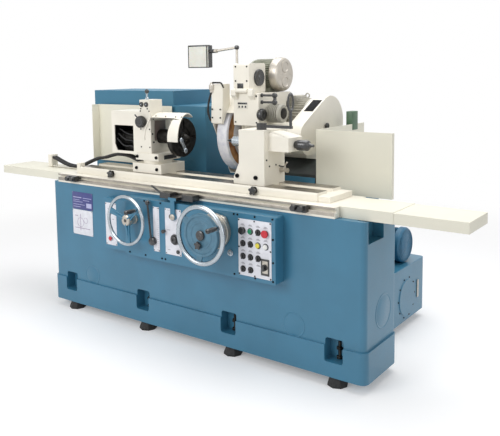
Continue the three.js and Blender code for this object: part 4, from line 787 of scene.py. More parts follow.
class GRINDER_OT_apron_plates(bpy.types.Operator):
    """Makes the feed plate, scale plate, left strip, the apron's screws, knobs and the bed's two plates"""
    bl_idname = "grinder.apron_plates"
    bl_label = "Apron plates"

    def execute(self, context):
        thick = context.scene.grinder_panel.plate / MM
        face, side = APRON_FACE - thick, SIDE_FACE - thick
        label_plate("feed_plate", APRON_FACE, thick, (1092, 1212, 536, 801))
        label_plate("scale_plate", APRON_FACE, thick, (999, 1046, 538, 798))
        label_plate("left_strip", SIDE_FACE, thick, (577, 672, 514, 776))
        scale = [(1042 - wide, 548 + 12 * i, wide, 2) for i in range(21) for wide in [10 if i % 5 else 16]]
        lines = [(597 + 20 * (i % 3), 735 - 30 * i, 15, 4) for i in range(5)]
        table = [(1108 + 34 * (i % 3), 790 - 38 * i, 22, 3) for i in range(7)]
        finished(joined("plate_marks", *marks(face, scale), *marks(side, lines), *marks(face, table)), "grey_plate",
                 "base")
        edge = [*product((785, 930, 1058, 1583, 1607, 1717, 1826), [APRON_FACE], [824]),
                *product((800, 929, 1061, 1087, 1582, 1717, 1827), [APRON_FACE], [502]),
                *product((783, 1828), [APRON_FACE], (600, 720))]
        screws("apron_screws", edge, FRONT, "base", 5.5, 4)
        spots = [*product((583, 666), [side], (520, 770)), *product((1003, 1042), [face], (544, 792)),
                 *product((1098, 1206), [face], (542, 795))]
        screws("plate_screws", spots, FRONT, "base", 3.2, 2)
        self.bed_plates(thick)
        self.small_controls(face)
        return {"FINISHED"}

    def bed_plates(self, thick):
        """Two plates on the bed: one with blank lines, one with a made-up diagram."""
        label_plate("front_plate", 0, thick, (195, 391, 685, 798), "violet_plate")
        label_plate("diagram_plate", 0, thick, (195, 386, 518, 682))
        lines = marks(-thick, ((205, 760, 80, 5), (205, 745, 60, 3), (205, 733, 90, 3), (300, 760, 80, 3),
                               (300, 745, 60, 3), (205, 715, 110, 3), (205, 700, 70, 3), (330, 700, 50, 30)))
        finished(joined("front_plate_lines", *lines), "pale_plate", "base")
        sketch = [hoop("sketch", (x, -thick - 0.2, z), FRONT, radius, 0.8, 40, 6)
                  for x, z, radius in ((270, 600, 30), (320, 615, 18))]
        sketch += marks(-thick, ((215, 560, 145, 3), (268, 545, 3, 110), (215, 640, 30, 3)), 0.6)
        finished(joined("diagram_lines", *sketch), "mauve_plate", "base")
        spots = [*product((200, 386), [-thick], (690, 793)), *product((200, 381), [-thick], (523, 677))]
        screws("bed_plate_screws", spots, FRONT, "base", 2.8, 1.6, "chromed_steel")
        for i, (x, z) in enumerate(((366, 263), (1900, 268))):
            fitting(f"core_plug_{i + 1}", (x, 0, z), FRONT, [
                (0, 1.6), (52, 1.6), (55, 0.4), (58, 0.4), (61, 2), (64, 2), (66, 0.2)], "blue_enamel", "base", 64)

    def small_controls(self, face):
        """The red button, the feed dial and knob, and the fixed knobs."""
        strip = SIDE_FACE - 2
        x, z = push_button("red_button", strip, "red_abs")
        finished(bezel_ring("red_button_bezel", x, z, strip, 18), "chromed_steel", "base")
        spot = middle("feed_dial")
        dial = ribbed_knob("feed_dial_knob", (spot.x, face, spot.z), FRONT, [
            (0, 14), (6, 14), (7, 18), (17, 18), (20, 16), (21, 9), (28, 8), (30, 6), (30, 0.4), (0, 0.4)],
            ((-1, -16, 18), (1, -9, 22.5), 0.5), 24)
        stands_for("feed_dial", dial, "black_phenolic")
        spot, tall = middle("feed_knob"), face - corners("feed_knob")[0].y
        knob = turned("feed_knob_finished", (spot.x, face, spot.z), FRONT,
                      [(0, tall), (8, tall), (11, tall - 3), (11, tall - 12), (6, tall - 15), (6, 0.4), (0, 0.4)])
        stands_for("feed_knob", knob, "black_phenolic")
        small = [turned(f"apron_knob_{i + 1}", (x, face, z), FRONT, [
            (0, 11), (radius - 3, 11), (radius, 8), (radius, 3), (radius - 2, 0.4), (0, 0.4)], 32)
            for i, (x, z, radius) in enumerate(((1143, 757, 14), (1196, 712, 9), (1190, 560, 11)))]
        finished(joined("feed_plate_knobs", *small), "black_phenolic", "base")
        fitting("lock_knob", (1557, APRON_FACE, 612), FRONT, [
            (0, 9), (5, 9), (5, 13), (12, 13), (14, 11), (14, 4), (17, 3), (17, 0.2), (0, 0.2)], "chromed_steel",
            "base")


class GRINDER_OT_handwheels(bpy.types.Operator):
    """Makes both handwheels with their spokes, hubs, grips and the infeed drum"""
    bl_idname = "grinder.handwheels"
    bl_label = "Handwheels"

    def execute(self, context):
        self.traverse()
        self.infeed()
        for side in ("traverse", "infeed"):
            self.grip(side)
        return {"FINISHED"}

    def traverse(self):
        """The left wheel: a chromed rim on three blue spokes, with an aluminium hub."""
        node = "traverse_handwheel"
        body, slot = BODIES[node], SLOTS[node]
        spot, rim_y = middle(node), corners(node)[0].y + 10
        rim, hub = (spot.x, rim_y, spot.z), (spot.x, APRON_FACE, spot.z)
        stands_for(node, hoop("traverse_rim", rim, FRONT, 140, 10), "chromed_steel")
        web = prism("web", shifted(rim, [(20, 14, -21), (60, 14, -13), (136, 3, -19), (136, 3, 19), (60, 14, 13),
                                         (20, 14, 21)]), (0, -9, 0))
        rib = prism("rib", shifted(rim, [(20, 8, -4), (20, -6, -4), (60, 0, -4), (128, -4, -4), (128, 4, -4)]),
                    (0, 0, 8))
        spokes = around(joined("spoke", web, rib), "traverse_spokes", (spot.x, 0, spot.z), BACK, 3,
                        -math.radians(38))
        finished(bevelled(spokes, 1.5), "blue_enamel", body)
        boss = turned("traverse_hub", hub, FRONT, [
            (0, 70), (9, 70), (9, 76), (20, 78), (30, 74), (34, 66), (34, 48), (28, 44), (28, 14), (30, 12),
            (30, 0.4), (0, 0.4)])
        finished(boss, "turned_aluminium", body)
        fitting("traverse_cap", hub, FRONT, [(0, 80), (6, 80), (10, 77), (11, 70.2), (0, 70.2)], "black_phenolic",
                body, 32)

    def infeed(self):
        """The right wheel: a chromed rim on a disc, its graduated drum, and the lug that clamps it."""
        node = "infeed_handwheel"
        body, reach = BODIES[node], 162
        low = corners(node)[0]
        x, rim_y, z = low.x + reach, low.y + 13, low.z + reach
        hub = (x, APRON_FACE, z)
        stands_for(node, hoop("infeed_rim", (x, rim_y, z), FRONT, 149, 13), "chromed_steel")
        spoke = prism("spoke", shifted((x, rim_y, z), [(96, 12, -22), (143, 4, -15), (143, 4, 15), (96, 12, 22)]),
                      (0, -8, 0))
        spokes = around(spoke, "infeed_spokes", (x, 0, z), BACK, 3, -math.radians(25))
        disc = turned("disc", hub, FRONT, [
            (0, 138), (60, 138), (64, 141), (70, 141), (74, 138), (96, 138), (100, 143), (112, 143), (115, 139),
            (115, 124), (102, 120), (0, 120)], 96)
        finished(joined("infeed_disc", disc, spokes), "blue_grey_motor", body)
        drum = turned("infeed_drum", hub, FRONT, [
            (0, 119.6), (92, 119.6), (96, 117), (96, 84), (93, 82), (93, 34), (96, 32), (96, 12), (90, 10),
            (90, 0.4), (0, 0.4)], 96)
        division = slab("mark", *shifted(hub, ((-0.6, -116, 90), (0.6, -100, 97))), 0.1, 1)
        finished(around(division, "infeed_marks", (x, 0, z), BACK, 60), "black_oxide", body)
        finished(drum, "turned_aluminium", body)
        boss = turned("infeed_boss", hub, FRONT, [
            (0, 150), (10, 150), (13, 152), (20, 152), (26, 148), (26, 138.2), (0, 138.2)])
        star = star_knob("infeed_star_knob", (x - 12, APRON_FACE - 138.2, z - 53), 22, 20)
        finished(joined("infeed_knobs", boss, star), "black_phenolic", body)
        lug = prism("clamp_lug", [(1500, 0, 812), (1536, 0, 804), (1552, 0, 770), (1536, 0, 748), (1518, 0, 762),
                                  (1500, 0, 790)], (0, -26, 0))
        lug.data.transform(Matrix.Translation((0, APRON_FACE * MM - 0.0004, 0)))
        finished(bevelled(lug, 4), "turned_aluminium", "base")
        screws("clamp_lug_screws", [(1518, APRON_FACE - 26.4, 792), (1534, APRON_FACE - 26.4, 772)], FRONT, "base",
               8, 6, "chromed_steel")

    def grip(self, side):
        """A handwheel's turning grip on its ferrule."""
        node = f"{side}_handle"
        low, high = corners(node)
        foot, end = ((low.x + high.x) / 2, high.y, (low.z + high.z) / 2), high.y - low.y
        fitting(f"{side}_ferrule", foot, FRONT, [(0, 0), (7, 0), (7, 7), (11, 8), (12, 10), (12, 14), (0, 14)],
                "chromed_steel", BODIES[node], 32)
        grip = turned(f"{side}_grip", foot, FRONT, [
            (0, 14.2), (10, 14.2), (11, 20), (13.2, 40), (12.4, end * 0.62), (12.8, end * 0.8), (13.8, end - 10),
            (13, end - 4), (8, end - 0.5), (5, end), (5, end - 3), (0, end - 3)], 40)
        stands_for(node, grip, "black_phenolic")


class GRINDER_OT_feet(bpy.types.Operator):
    """Makes the levelling feet and the bolts and nuts that stand in the bed's pockets"""
    bl_idname = "grinder.feet"
    bl_label = "Feet"

    def execute(self, context):
        for node in [n for n in frame["nodes"] if n.startswith("foot_")]:
            spot, top = middle(node), corners(node)[1].z
            pad = turned(f"{node}_pad", (spot.x, spot.y, 0), UP, [
                (0, 0), (52, 0), (54, 4), (52, 16), (42, top - 12), (40, top), (0, top)], 8)
            stands_for(node, pad, "rubber")
            if "front" in node:
                bolt = turned("bolt", (spot.x, spot.y + 24, 50.2), UP, [
                    (0, 0), (9, 0), (9, 165), (7, 168), (0, 168)], 20)
                nuts = [turned("nut", (spot.x, spot.y + 24, z), UP, [
                    (0, 0), (17, 0), (19, 2), (19, 12), (17, 14), (0, 14)], 6) for z in (128, 176)]
                finished(joined(f"{node}_bolt", bolt, *nuts), "dark_iron", "base")
        return {"FINISHED"}


class GRINDER_OT_wheel(bpy.types.Operator):
    """Makes the grinding wheel and its blotters, whose brown band near the rim is partly a painted reflection, and
    dresses its spindle
    """
    bl_idname = "grinder.wheel"
    bl_label = "Grinding wheel"

    def execute(self, context):
        node = "grinding_wheel"
        low, high = corners(node)
        spot, wide, radius = (low + high) / 2, high.x - low.x, (high.z - low.z) / 2
        disc = turned("wheel_abrasive", (low.x, spot.y, spot.z), RIGHT, [
            (64, 0), (radius - 4, 0), (radius, 4), (radius, wide - 4), (radius - 4, wide), (64, wide), (64, 0)], 128)
        stands_for(node, disc, "abrasive")
        # The blotters are real paper, but their brown band near the rim also paints the reflection seen on the wheel's
        # right face
        paper, rim = 158, radius - 20
        rings = [turned("blotter", (x, spot.y, spot.z), axis, [
            (paper, 0.1), (rim, 0.1), (rim, 1), (paper, 1), (paper, 0.1)], 96)
            for x, axis in ((low.x, LEFT), (high.x, RIGHT))]
        finished(joined("wheel_blotters_and_painted_reflection", *rings), "blotter_paper", BODIES[node])
        dressed("wheel_spindle", 0.8, "turned_aluminium")
        return {"FINISHED"}


class GRINDER_OT_wheelhead_fittings(bpy.types.Operator):
    """Makes the wheelhead's side pump, knobs, clamp handles, vents, plate, coolant pipe and screws"""
    bl_idname = "grinder.wheelhead_fittings"
    bl_label = "Wheelhead fittings"

    def execute(self, context):
        self.side()
        self.front()
        self.guard()
        return {"FINISHED"}

    def side(self):
        """What stands on the wheelhead's right side."""
        face = WHEELHEAD_RIGHT
        pump = [(0, 0.2), (44, 0.2), (44, 7), (55, 9)]
        for i in range(6):
            pump += [(55, 12 + 12 * i), (55, 17 + 12 * i), (47, 18 + 12 * i), (47, 22 + 12 * i)]
        pump += [(55, 84), (55, 96), (50, 104), (36, 105), (34, 102), (0, 102)]
        fitting("side_pump", (face, 462, 1316.6), RIGHT, pump, "grey_motor", "wheelhead")
        fitting("side_pump_end", (face, 462, 1316.6), RIGHT, [
            (0, 108), (20, 108), (24, 106), (30, 106), (32, 104), (32, 102.2), (0, 102.2)], "dark_iron", "wheelhead")
        knob = ribbed_knob("side_knob", (face, 372, 1312.6), RIGHT, [
            (0, 22), (10, 22), (12, 26), (28, 26), (32, 24), (34, 20), (34, 8), (31, 5), (31, 0.2), (0, 0.2)],
            ((6, -1, 33), (22, 1, 35.4), 0.4), 30)
        finished(knob, "black_phenolic", "wheelhead")
        arms = [turned("arm", (face, 385, z), RIGHT, [
            (0, 0.2), (11, 0.2), (11, 7), (6.5, 9), (6.5, 78), (11, 80), (15, 86), (15, 98), (10, 105), (0, 105)], 28)
            for z in (1384.6, 1424.6)]
        arms.append(slab("bracket", (face + 84, 381, 1384), (face + 96, 400, 1425), 2))
        finished(joined("clamp_handles", *arms), "black_phenolic", "wheelhead")

    def front(self):
        """The plate, vent and screws on the front of the wheelhead and the internal head."""
        face, inner = WHEELHEAD_FACE, BODIES["internal_grinding_head"]
        plate = slab("front_label_plate", (1290, face - 1.6, 1345), (1366, face - 0.1, 1386), 0.5)
        finished(plate, "ivory_plate", "wheelhead")
        bars = [slab("bar", (x, face - 2.2, low), (x + wide, face - 1.5, high), 0.2) for x, wide, low, high in (
            (1294, 68, 1371, 1382), (1299, 11, 1351, 1363), (1322, 11, 1351, 1363), (1345, 11, 1351, 1363))]
        finished(joined("front_label_bars", *bars), "black_phenolic", "wheelhead")
        screws("block_screws", product((1276, 1428), [face], (1266, 1420)), FRONT, "wheelhead", 5, 3.5)
        screws("internal_head_screws", product((1278, 1360), [face + 2], (1508, 1592)), FRONT, inner, 5, 3.5)
        rim = slab("vent", (1290, face, 1464), (1334, face + 2.3, 1494), 1)
        slats = [slab("slat", (1294 + 10 * i, face - 1.4, 1467), (1299 + 10 * i, face + 1, 1491), 0.5, 1)
                 for i in range(4)]
        finished(joined("internal_head_vent", rim, *slats), "black_phenolic", inner)

    def guard(self):
        """The coolant pipe, valve and hose on the wheel guard."""
        body, tip = BODIES["wheel_guard"], corners("wheel_guard")[1].z
        pipe = rod("coolant_rod", [(1124, 322, 1462), (1124, 322, tip + 8), (1196, 322, tip + 8),
                                   (1214, 322, tip - 22)], 5, 10)
        finished(pipe, "dark_iron", body)
        fitting("coolant_valve", (1124, 322, 1440), UP, [
            (0, 0), (12, 0), (12, 14), (17, 17), (17, 44), (12, 48), (8, 60), (0, 60)], "turned_aluminium", body)
        hose = rod("coolant_hose", [(1122, 318, 1440), (1106, 318, 1400), (1094, 318, 1350), (1094, 318, 1310),
                                    (1110, 326, 1268)], 6, 40)
        finished(hose, "rubber", body)
        screws("visor_screws", product((1136, 1196), [309.6], (1290, 1340)), FRONT, body, 5, 3)


class GRINDER_OT_motors(bpy.types.Operator):
    """Makes the main, internal, pump and workhead motors with their fins, bells and feet"""
    bl_idname = "grinder.motors"
    bl_label = "Motors"

    def execute(self, context):
        self.main_motor()
        self.internal_motor()
        self.pump_motor()
        self.workhead_motor()
        dressed("motor_pulley", 0.6, "turned_aluminium")
        dressed("drive_belt", 0.6, "rubber")
        return {"FINISHED"}

    def fins(self, centre, inner, outer, start, length, count):
        """Cooling fins along a motor's body, one modelled and the rest turned round the axis."""
        x, y, z = centre
        fin = slab("fins", (x + start, y - 1.8, z + inner - 2), (x + start + length, y + 1.8, z + outer), 0.8, 1)
        return around(fin, "fins", centre, RIGHT, count)

    def feet(self, low, y, span, apart, half, tall, bevel):
        """Two feet along a motor, over a span of its length, each side of its axis at y."""
        return [slab("foot", (low.x + span[0], y + s * apart - half, low.z),
                     (low.x + span[1], y + s * apart + half, low.z + tall), bevel) for s in (-1, 1)]

    def main_motor(self):
        node = "main_motor"
        low, high = corners(node)
        centre = x, y, z = low.x, (low.y + high.y) / 2, MAIN_MOTOR_Z
        body = turned("body", centre, RIGHT, [
            (0, 0.5), (60, 0.5), (60, 2), (112, 2), (120, 0), (146, 14), (150, 20), (150, 53), (147, 55), (126, 55),
            (126, 268), (142, 270), (142, 284), (130, 292), (70, 298), (60, 300), (0, 300)], 72)
        fins = self.fins(centre, 126, 142, 57, 211, 44)
        feet = self.feet(low, y, (56, 258), 80, 20, 46, 4)
        box = slab("box", (x + 105, y - 60, z + 120), (x + 190, y + 60, z + 160), 5)
        eye = [hoop("eye", (x + 234, y, high.z - 17), BACK, 13, 4),
               turned("stem", (x + 234, y, z + 126), UP, [(0, 0), (12, 0), (12, 18), (7, 20), (5, 24), (0, 24)])]
        grille = [hoop("ring", (x - 0.2, y, z), RIGHT, r, 1.6, 56, 6) for r in (35, 55, 75, 95)]
        stands_for(node, joined("main_motor_finished", body, fins, *feet, box, *eye), "pale_motor")
        finished(joined("main_motor_grille", *grille), "dark_iron", BODIES[node])

    def internal_motor(self):
        node = "internal_motor"
        low, high = corners(node)
        centre = x, y, z = low.x, (low.y + high.y) / 2, high.z - 103
        # Seen 68 mm shorter than its solid, and the bell takes up the last 58 mm of what is seen
        length = high.x - low.x - 68
        bell = length - 58
        barrel = turned("barrel", centre, RIGHT, [
            (0, 0.5), (60, 0.5), (78, 4), (90, 10), (92, 14), (92, 26), (80, 30), (80, bell - 2), (0, bell - 2)], 64)
        fins = self.fins(centre, 80, 95, 30, bell - 34, 40)
        foot = slab("foot", (x + 24, y - 58, low.z), (x + bell - 20, y + 58, low.z + 26), 3)
        finished(joined("internal_motor_barrel", barrel, fins, foot), "green_grey_motor", BODIES[node],
                 nodes=[node])
        cover = turned("internal_motor_bell", centre, RIGHT, [
            (0, bell - 1.6), (97, bell - 1.6), (100, bell), (103, bell + 4), (103, length - 20),
            (99, length - 8), (90, length - 2), (84, length), (0, length)], 96)
        caps = [turned("cap", (x + length, y, z + s * 46), RIGHT, [
            (0, 2), (26, 2), (28, 4), (35, 4), (38, 2), (38, -1), (0, -1)]) for s in (-1, 1)]
        seam = slab("seam", (x + length - 1, y - 60, z - 2), (x + length + 2.4, y + 60, z + 2), 0.6, 1)
        finished(joined("internal_motor_bell", cover, *caps, seam), "turned_aluminium", BODIES[node])

    def pump_motor(self):
        node = "hydraulic_motor"
        low, high = corners(node)
        centre = x, y, z = low.x, (low.y + high.y) / 2, high.z - 108
        body = turned("body", centre, RIGHT, [
            (0, 0.5), (70, 0.5), (94, 6), (100, 12), (100, 30), (86, 34), (86, 240), (104, 244), (108, 248),
            (108, 276), (100, 287), (60, 290), (0, 290)], 72)
        fins = self.fins(centre, 86, 100, 33, 210, 38)
        feet = self.feet(low, y, (50, 230), 62, 18, 50, 3)
        box = slab("box", (x + 90, y - 45, z + 80), (x + 170, y + 45, z + 107), 5)
        rings = [hoop("ring", (x + 290, y, z), RIGHT, r, 1.8, 56, 6) for r in (25, 42, 59, 76, 92)]
        stands_for(node, joined("hydraulic_motor_finished", body, fins, *feet, box, *rings), "blue_motor")

    def workhead_motor(self):
        node = "workhead_motor"
        low, high = corners(node)
        x, y, length = low.x, (low.y + high.y) / 2, high.x - low.x
        centre = x, y, high.z - 55
        body = turned("body", centre, RIGHT, [
            (0, 0.5), (40, 0.5), (53, 6), (55, 12), (55, 40), (46, 43), (46, length - 14), (55, length - 12),
            (55, length - 4), (40, length), (0, length)])
        fins = self.fins(centre, 46, 55, 42, length - 54, 26)
        foot = slab("foot", (x + 30, y - 35, low.z), (x + length - 30, y + 35, low.z + 30), 2)
        stands_for(node, joined("workhead_motor_finished", body, fins, foot), "dark_iron")


class GRINDER_OT_workhead(bpy.types.Operator):
    """Makes the workhead's face plate, driver, knobs, dials, window plate, cables and bolts"""
    bl_idname = "grinder.workhead"
    bl_label = "Workhead"

    def execute(self, context):
        body, face = "workhead", WORKHEAD_FACE
        self.faceplate()
        knob = ribbed_knob("speed_knob", (WORKHEAD_X, face, 1265.9), FRONT, [
            (0, 36), (20, 36), (24, 39), (30, 39), (34, 35), (34, 8), (30, 4), (30, 0.2), (0, 0.2)],
            ((-1, -34, 33.5), (1, -9, 35.9), 0.4), 30)
        lever = rod("lever", [(742, 88, 1280), (724, 78, 1300), (716, 76, 1310)], 4.5, 6)
        finished(joined("speed_knob", knob, lever), "black_phenolic", body)
        lid = 1398.9
        fitting("ball_stem", (WORKHEAD_X, 150, lid), UP, [
            (0, 0.2), (13, 0.2), (13, 8), (8, 12), (6, 14), (6, 36), (9, 38), (0, 38)], "chromed_steel", body, 24)
        fitting("ball_knob", (WORKHEAD_X, 150, lid + 38), UP, [
            (0, 0), (7, 0), (12, 5), (14, 12), (12.5, 19), (7, 25), (0, 26.5)], "black_phenolic", body, 28)
        for i, x in enumerate((743, 783)):
            fitting(f"dial_{i + 1}", (x, face, 1371), FRONT, [
                (0, 7), (8, 7), (9, 9), (13, 9), (15, 7), (15, 0.2), (0, 0.2)], "black_phenolic", body, 32)
            fitting(f"dial_cap_{i + 1}", (x, face - 7.2, 1371), FRONT, [(0, 2), (4, 2), (5, 0), (0, 0)],
                    "chromed_steel", body, 20)
        side = COLUMN_RIGHT
        plate = slab("belt_window_plate", (side + 0.1, 144, 1152), (side + 2, 236, 1270), 0.6)
        rim = slab("belt_window_rim", (side + 0.05, 139, 1147), (side + 1.2, 241, 1275), 0.5)
        finished(plate, "brown_plate", body)
        finished(rim, "turned_aluminium", body)
        fitting("window_boss", (side + 2, 190, 1206), RIGHT, [(0, 6), (4, 6), (7, 4), (7, 0.2), (0, 0.2)],
                "chromed_steel", body, 24)
        screws("column_screws", [*product([side], (132, 249), (1140, 1283)), (side, 121, 1191)], RIGHT, body, 5.5, 4)
        spots = [*product((731, 804), [face], (1110, 1220, 1330)), *product((735, 790), [face], [1345])]
        screws("workhead_front_screws", spots, FRONT, body, 4.5, 3)
        screws("swivel_bolts", product((705, 865), [100], [1051]), FRONT, body, 10, 9)
        screws("base_bolts", product((700, 872), [95], [980]), FRONT, BODIES["workhead_base"], 10, 9)
        # A thin black strip on the base's right side: painted shade where a slot would be, not a cut
        finished(slab("base_slot_painted_shade", (880.1, 150, 1035), (881, 262, 1060), 0.3, 1), "black_phenolic", body)
        cables = [rod("cable", [(690, 130 + 12 * i, 1080), (640, 128 + 12 * i, 1110 + 30 * i),
                                (560, 130 + 12 * i, 1100 + 40 * i), (500, 128 + 12 * i, 1150 + 30 * i)], 5, 30)
                  for i in range(3)]
        finished(joined("workhead_cables", *cables), "rubber", body)
        return {"FINISHED"}

    def faceplate(self):
        """The slotted face plate with its centre and the driver that turns the work."""
        node, thick = "faceplate", 254.8
        low, high = corners(node)
        y, z = WORK_Y, (low.z + high.z) / 2
        plate = turned("faceplate_finished", (low.x, y, z), RIGHT, [
            (0, 0.5), (44, 0.5), (44, 219.8), (114, 219.8), (117.5, 223), (117.5, 251.5), (114, thick), (60, thick),
            (58, 250), (30, 250), (28, thick), (0, thick)], 96)
        face = low.x + thick
        grooves = [slab("groove", *shifted((face, y, z), span), 3) for span in (
            ((-9, -6, 40), (4, 6, 104)), ((-9, -6, -104), (4, 6, -40)), ((-9, 40, -6), (4, 104, 6)),
            ((-9, -104, -6), (4, -40, 6)))]
        stands_for(node, cut(plate, *grooves), "dark_iron")
        fitting("work_centre", (face - 5, y, z), RIGHT, [
            (0, 0.1), (26, 0.1), (26, 6), (20, 8), (20, 18), (18, 20), (0, high.x - face + 5)], "dark_iron",
            BODIES[node])
        front = face + 0.3
        arm = prism("arm", shifted((front, y, z), [
            (0, -46, -12), (0, -24, -8), (0, 12, -70), (0, 14, -84), (0, -8, -86), (0, -14, -72)]), (11, 0, 0))
        bosses = [turned("boss", (front, y + dy, z + dz), RIGHT, [
            (0, 0), (16, 0), (16, 12), (13, 15), (8, 15), (7, 12), (0, 12)], 30) for dy, dz in ((-34, -14), (2, -80))]
        finished(joined("work_driver", bevelled(arm, 2.5), *bosses), "chromed_steel", BODIES[node])


class GRINDER_OT_tailstock(bpy.types.Operator):
    """Makes the tailstock's quill, lever, knob, coolant tap and bolts"""
    bl_idname = "grinder.tailstock"
    bl_label = "Tailstock"

    def execute(self, context):
        node, body = "tailstock_quill", "tailstock"
        low, high = corners(node)
        y, z, end = (low.y + high.y) / 2, (low.z + high.z) / 2, high.x - low.x
        shaft = turned("quill_finished", (low.x, y, z), RIGHT, [
            (0, 0), (17, 46), (18, 50), (26, 50.5), (30, 54), (30, end - 2), (0, end - 2)], 56)
        stands_for(node, shaft, "chromed_steel")
        dressed("quill_lever", 1, "black_phenolic")
        fitting("quill_knob", (1790, y, z), RIGHT, [
            (0, 0.2), (20, 0.2), (20, 12), (27, 15), (28, 20), (28, 76), (24, 82), (14, 86), (12, 92), (8, 100),
            (7, 113), (0, 114)], "black_phenolic", body, 40)
        screws("tailstock_bolts", [(1483, 90, 996), (1607, 90, 994)], FRONT, body, 12, 10)
        screws("tailstock_screws", [(1662, 139, 1054), (1662, 201, 1056), (1662, 112, 1090)], RIGHT, body, 5, 3)
        tap = turned("tap", (1662, 250, 1022), RIGHT, [
            (0, 0.2), (15, 0.2), (15, 8), (9, 10), (9, 34), (13, 36), (13, 48), (0, 48)], 28)
        spout = rod("spout", [(1690, 250, 1022), (1690, 250, 1050), (1704, 250, 1066)], 5, 6)
        finished(joined("coolant_tap", tap, spout), "turned_aluminium", body)
        handle = rod("tap_handle", [(1682, 250, 1040), (1682, 214, 1048), (1682, 206, 1052)], 4, 6)
        finished(handle, "black_phenolic", body)
        return {"FINISHED"}


class GRINDER_OT_levers(bpy.types.Operator):
    """Makes the table lever, the reversing lever, the table's star knobs, and black strips painted as the shade in the
    table's edge slots
    """
    bl_idname = "grinder.levers"
    bl_label = "Levers and table knobs"

    def execute(self, context):
        node, table = "table_lever", BODIES["swivel_table"]
        low, high = corners(node)
        x, z, top_x, top_z = 1000, 597, 975, high.z - 14
        y = (low.y + APRON_FACE) / 2 + 4
        boss = turned("boss", (x, APRON_FACE, z), FRONT, [
            (0, 25), (18, 25), (23, 22), (24, 14), (24, 3), (21, 0.4), (0, 0.4)])
        arm = rod("arm", [(x, y - 12, z + 8), (x - 8, y - 10, z + 60), (top_x, y - 10, top_z)], 6, 20)
        ball = turned("ball", (top_x, y - 10, top_z - 16), UP, [
            (0, 0), (6, 0), (11, 6), (14, 16), (12, 24), (6, 29), (0, 30)], 28)
        stands_for(node, joined("table_lever_finished", boss, arm, ball), "black_phenolic")
        dressed("reversing_lever", 1.5, "blue_enamel", "black_phenolic", lambda p, n: p.z > 849 or p.x < 1100)
        fitting("reversing_boss", (1163, APRON_FACE - 17.6, 758), FRONT, [
            (0, 6), (5, 6), (6, 9), (12, 9), (14, 6), (17, 4), (18, 0.2), (0, 0.2)], "turned_aluminium",
            BODIES["reversing_lever"])
        for i, x in enumerate((507, 1612)):
            finished(star_knob(f"table_star_knob_{i + 1}", (x, 68, 929.1), 24, 27), "black_phenolic", table)
        # Thin black strips on the table's front chamfer: painted shade standing in for the dark inside of two slots,
        # which are not cut
        slots = [prism("slot", [(x, 71, 942.6), (x, 77, 948.6), (x, 76, 949.6), (x, 70, 943.6)], (135, 0, 0))
                 for x in (883, 1319)]
        finished(joined("table_edge_slot_painted_shade", *slots), "black_phenolic", table)
        return {"FINISHED"}


class GRINDER_OT_internal_head(bpy.types.Operator):
    """Makes the internal grinding head's disc and the belt guard's vent and knob"""
    bl_idname = "grinder.internal_head"
    bl_label = "Internal grinding head"

    def execute(self, context):
        fitting("internal_head_disc", (INNER_HEAD_RIGHT - 0.2, 455, 1526), RIGHT, [
            (0, 12), (10, 12), (12, 9), (36, 9), (40, 11), (46, 11), (50, 8), (50, 0.2), (0, 0.2)], "black_phenolic",
            BODIES["internal_grinding_head"], 64)
        self.vent()
        fitting("belt_guard_knob", (1665.1, 743, 1229), RIGHT, [
            (0, 20), (14, 20), (18, 17), (18, 8), (9, 5), (9, 0.2), (0, 0.2)], "black_phenolic", BODIES["belt_guard"],
            36)
        return {"FINISHED"}

    def vent(self):
        """A dark louvred vent that lies on the slope of the belt guard, which is tangent to both its rounds."""
        wheel_end, motor_end = 105, 160
        front, rear = Vector((0, WHEEL_Y, AXIS_Z)), Vector((0, MAIN_MOTOR_Y, MAIN_MOTOR_Z))
        along = (rear - front).normalized()
        lean = math.asin((motor_end - wheel_end) / (rear - front).length)
        out = Matrix.Rotation(lean, 3, "X") @ Vector((0, -along.z, along.y))
        run = Vector((0, out.z, -out.y))
        start = front + out * wheel_end + run * 122
        left, wide, bars = 1592, 62, []
        for inset, near, far, tall in [(0, 0, 128, 1.5)] + [(5, 6 + 12 * i, 13 + 12 * i, 3.5) for i in range(10)]:
            spots = [start + run * near, start + run * far, start + run * far + out * tall,
                     start + run * near + out * tall]
            bars.append(prism("bar", [(left + inset, p.y, p.z) for p in spots], (wide - 2 * inset, 0, 0)))
        finished(joined("belt_guard_vent", *bars), "black_oxide", BODIES["belt_guard"])


class GRINDER_OT_lamp(bpy.types.Operator):
    """Makes the work lamp: arm with its black elbow, and the head with its frosted face"""
    bl_idname = "grinder.lamp"
    bl_label = "Lamp"

    def execute(self, context):
        node = "lamp_head"
        dressed("lamp_arm", 0.8, "turned_aluminium", "black_phenolic", lambda p, n: p.z > 1690 and p.x > 1135)
        low, high = corners(node)
        # Only the solid's tilting barrel shows; the shell is 156 mm wide and ends 43 mm short of it
        right, front, back, tall = high.x - 43, low.y, high.y, high.z - low.z
        left = right - 156
        dressed(node, 2, "black_phenolic", trims=[slab(
            "trim", (low.x - 9, low.y - 9, low.z - 9), (right - 3, back + 9, high.z + 9), 0)])
        shell = prism("lamp_shell", [
            (left, front - 2, low.z), (left, back, low.z), (right - 22, back, low.z), (right - 6, back - 10, low.z),
            (right, back - 26, low.z), (right, front + 14, low.z), (right - 8, front, low.z)], (0, 0, tall))
        window = slab("window", (left + 7, front - 9, low.z + 6), (right + 9, front + 5, high.z - 9), 0)
        bevelled(cut(shell, window), 1.2, test=sharper(40))
        finished(shell, "black_phenolic", BODIES[node])
        face = prism("lamp_face", [(x, y, low.z + 6.3) for x, y in (
            (left + 7.3, front - 1), (left + 7.3, front + 4.8), (right + 1, front + 4.8), (right + 1, front + 14),
            (right - 7, front - 1))], (0, 0, tall - 15.6))
        finished(face, "frosted_acrylic", BODIES[node])
        return {"FINISHED"}


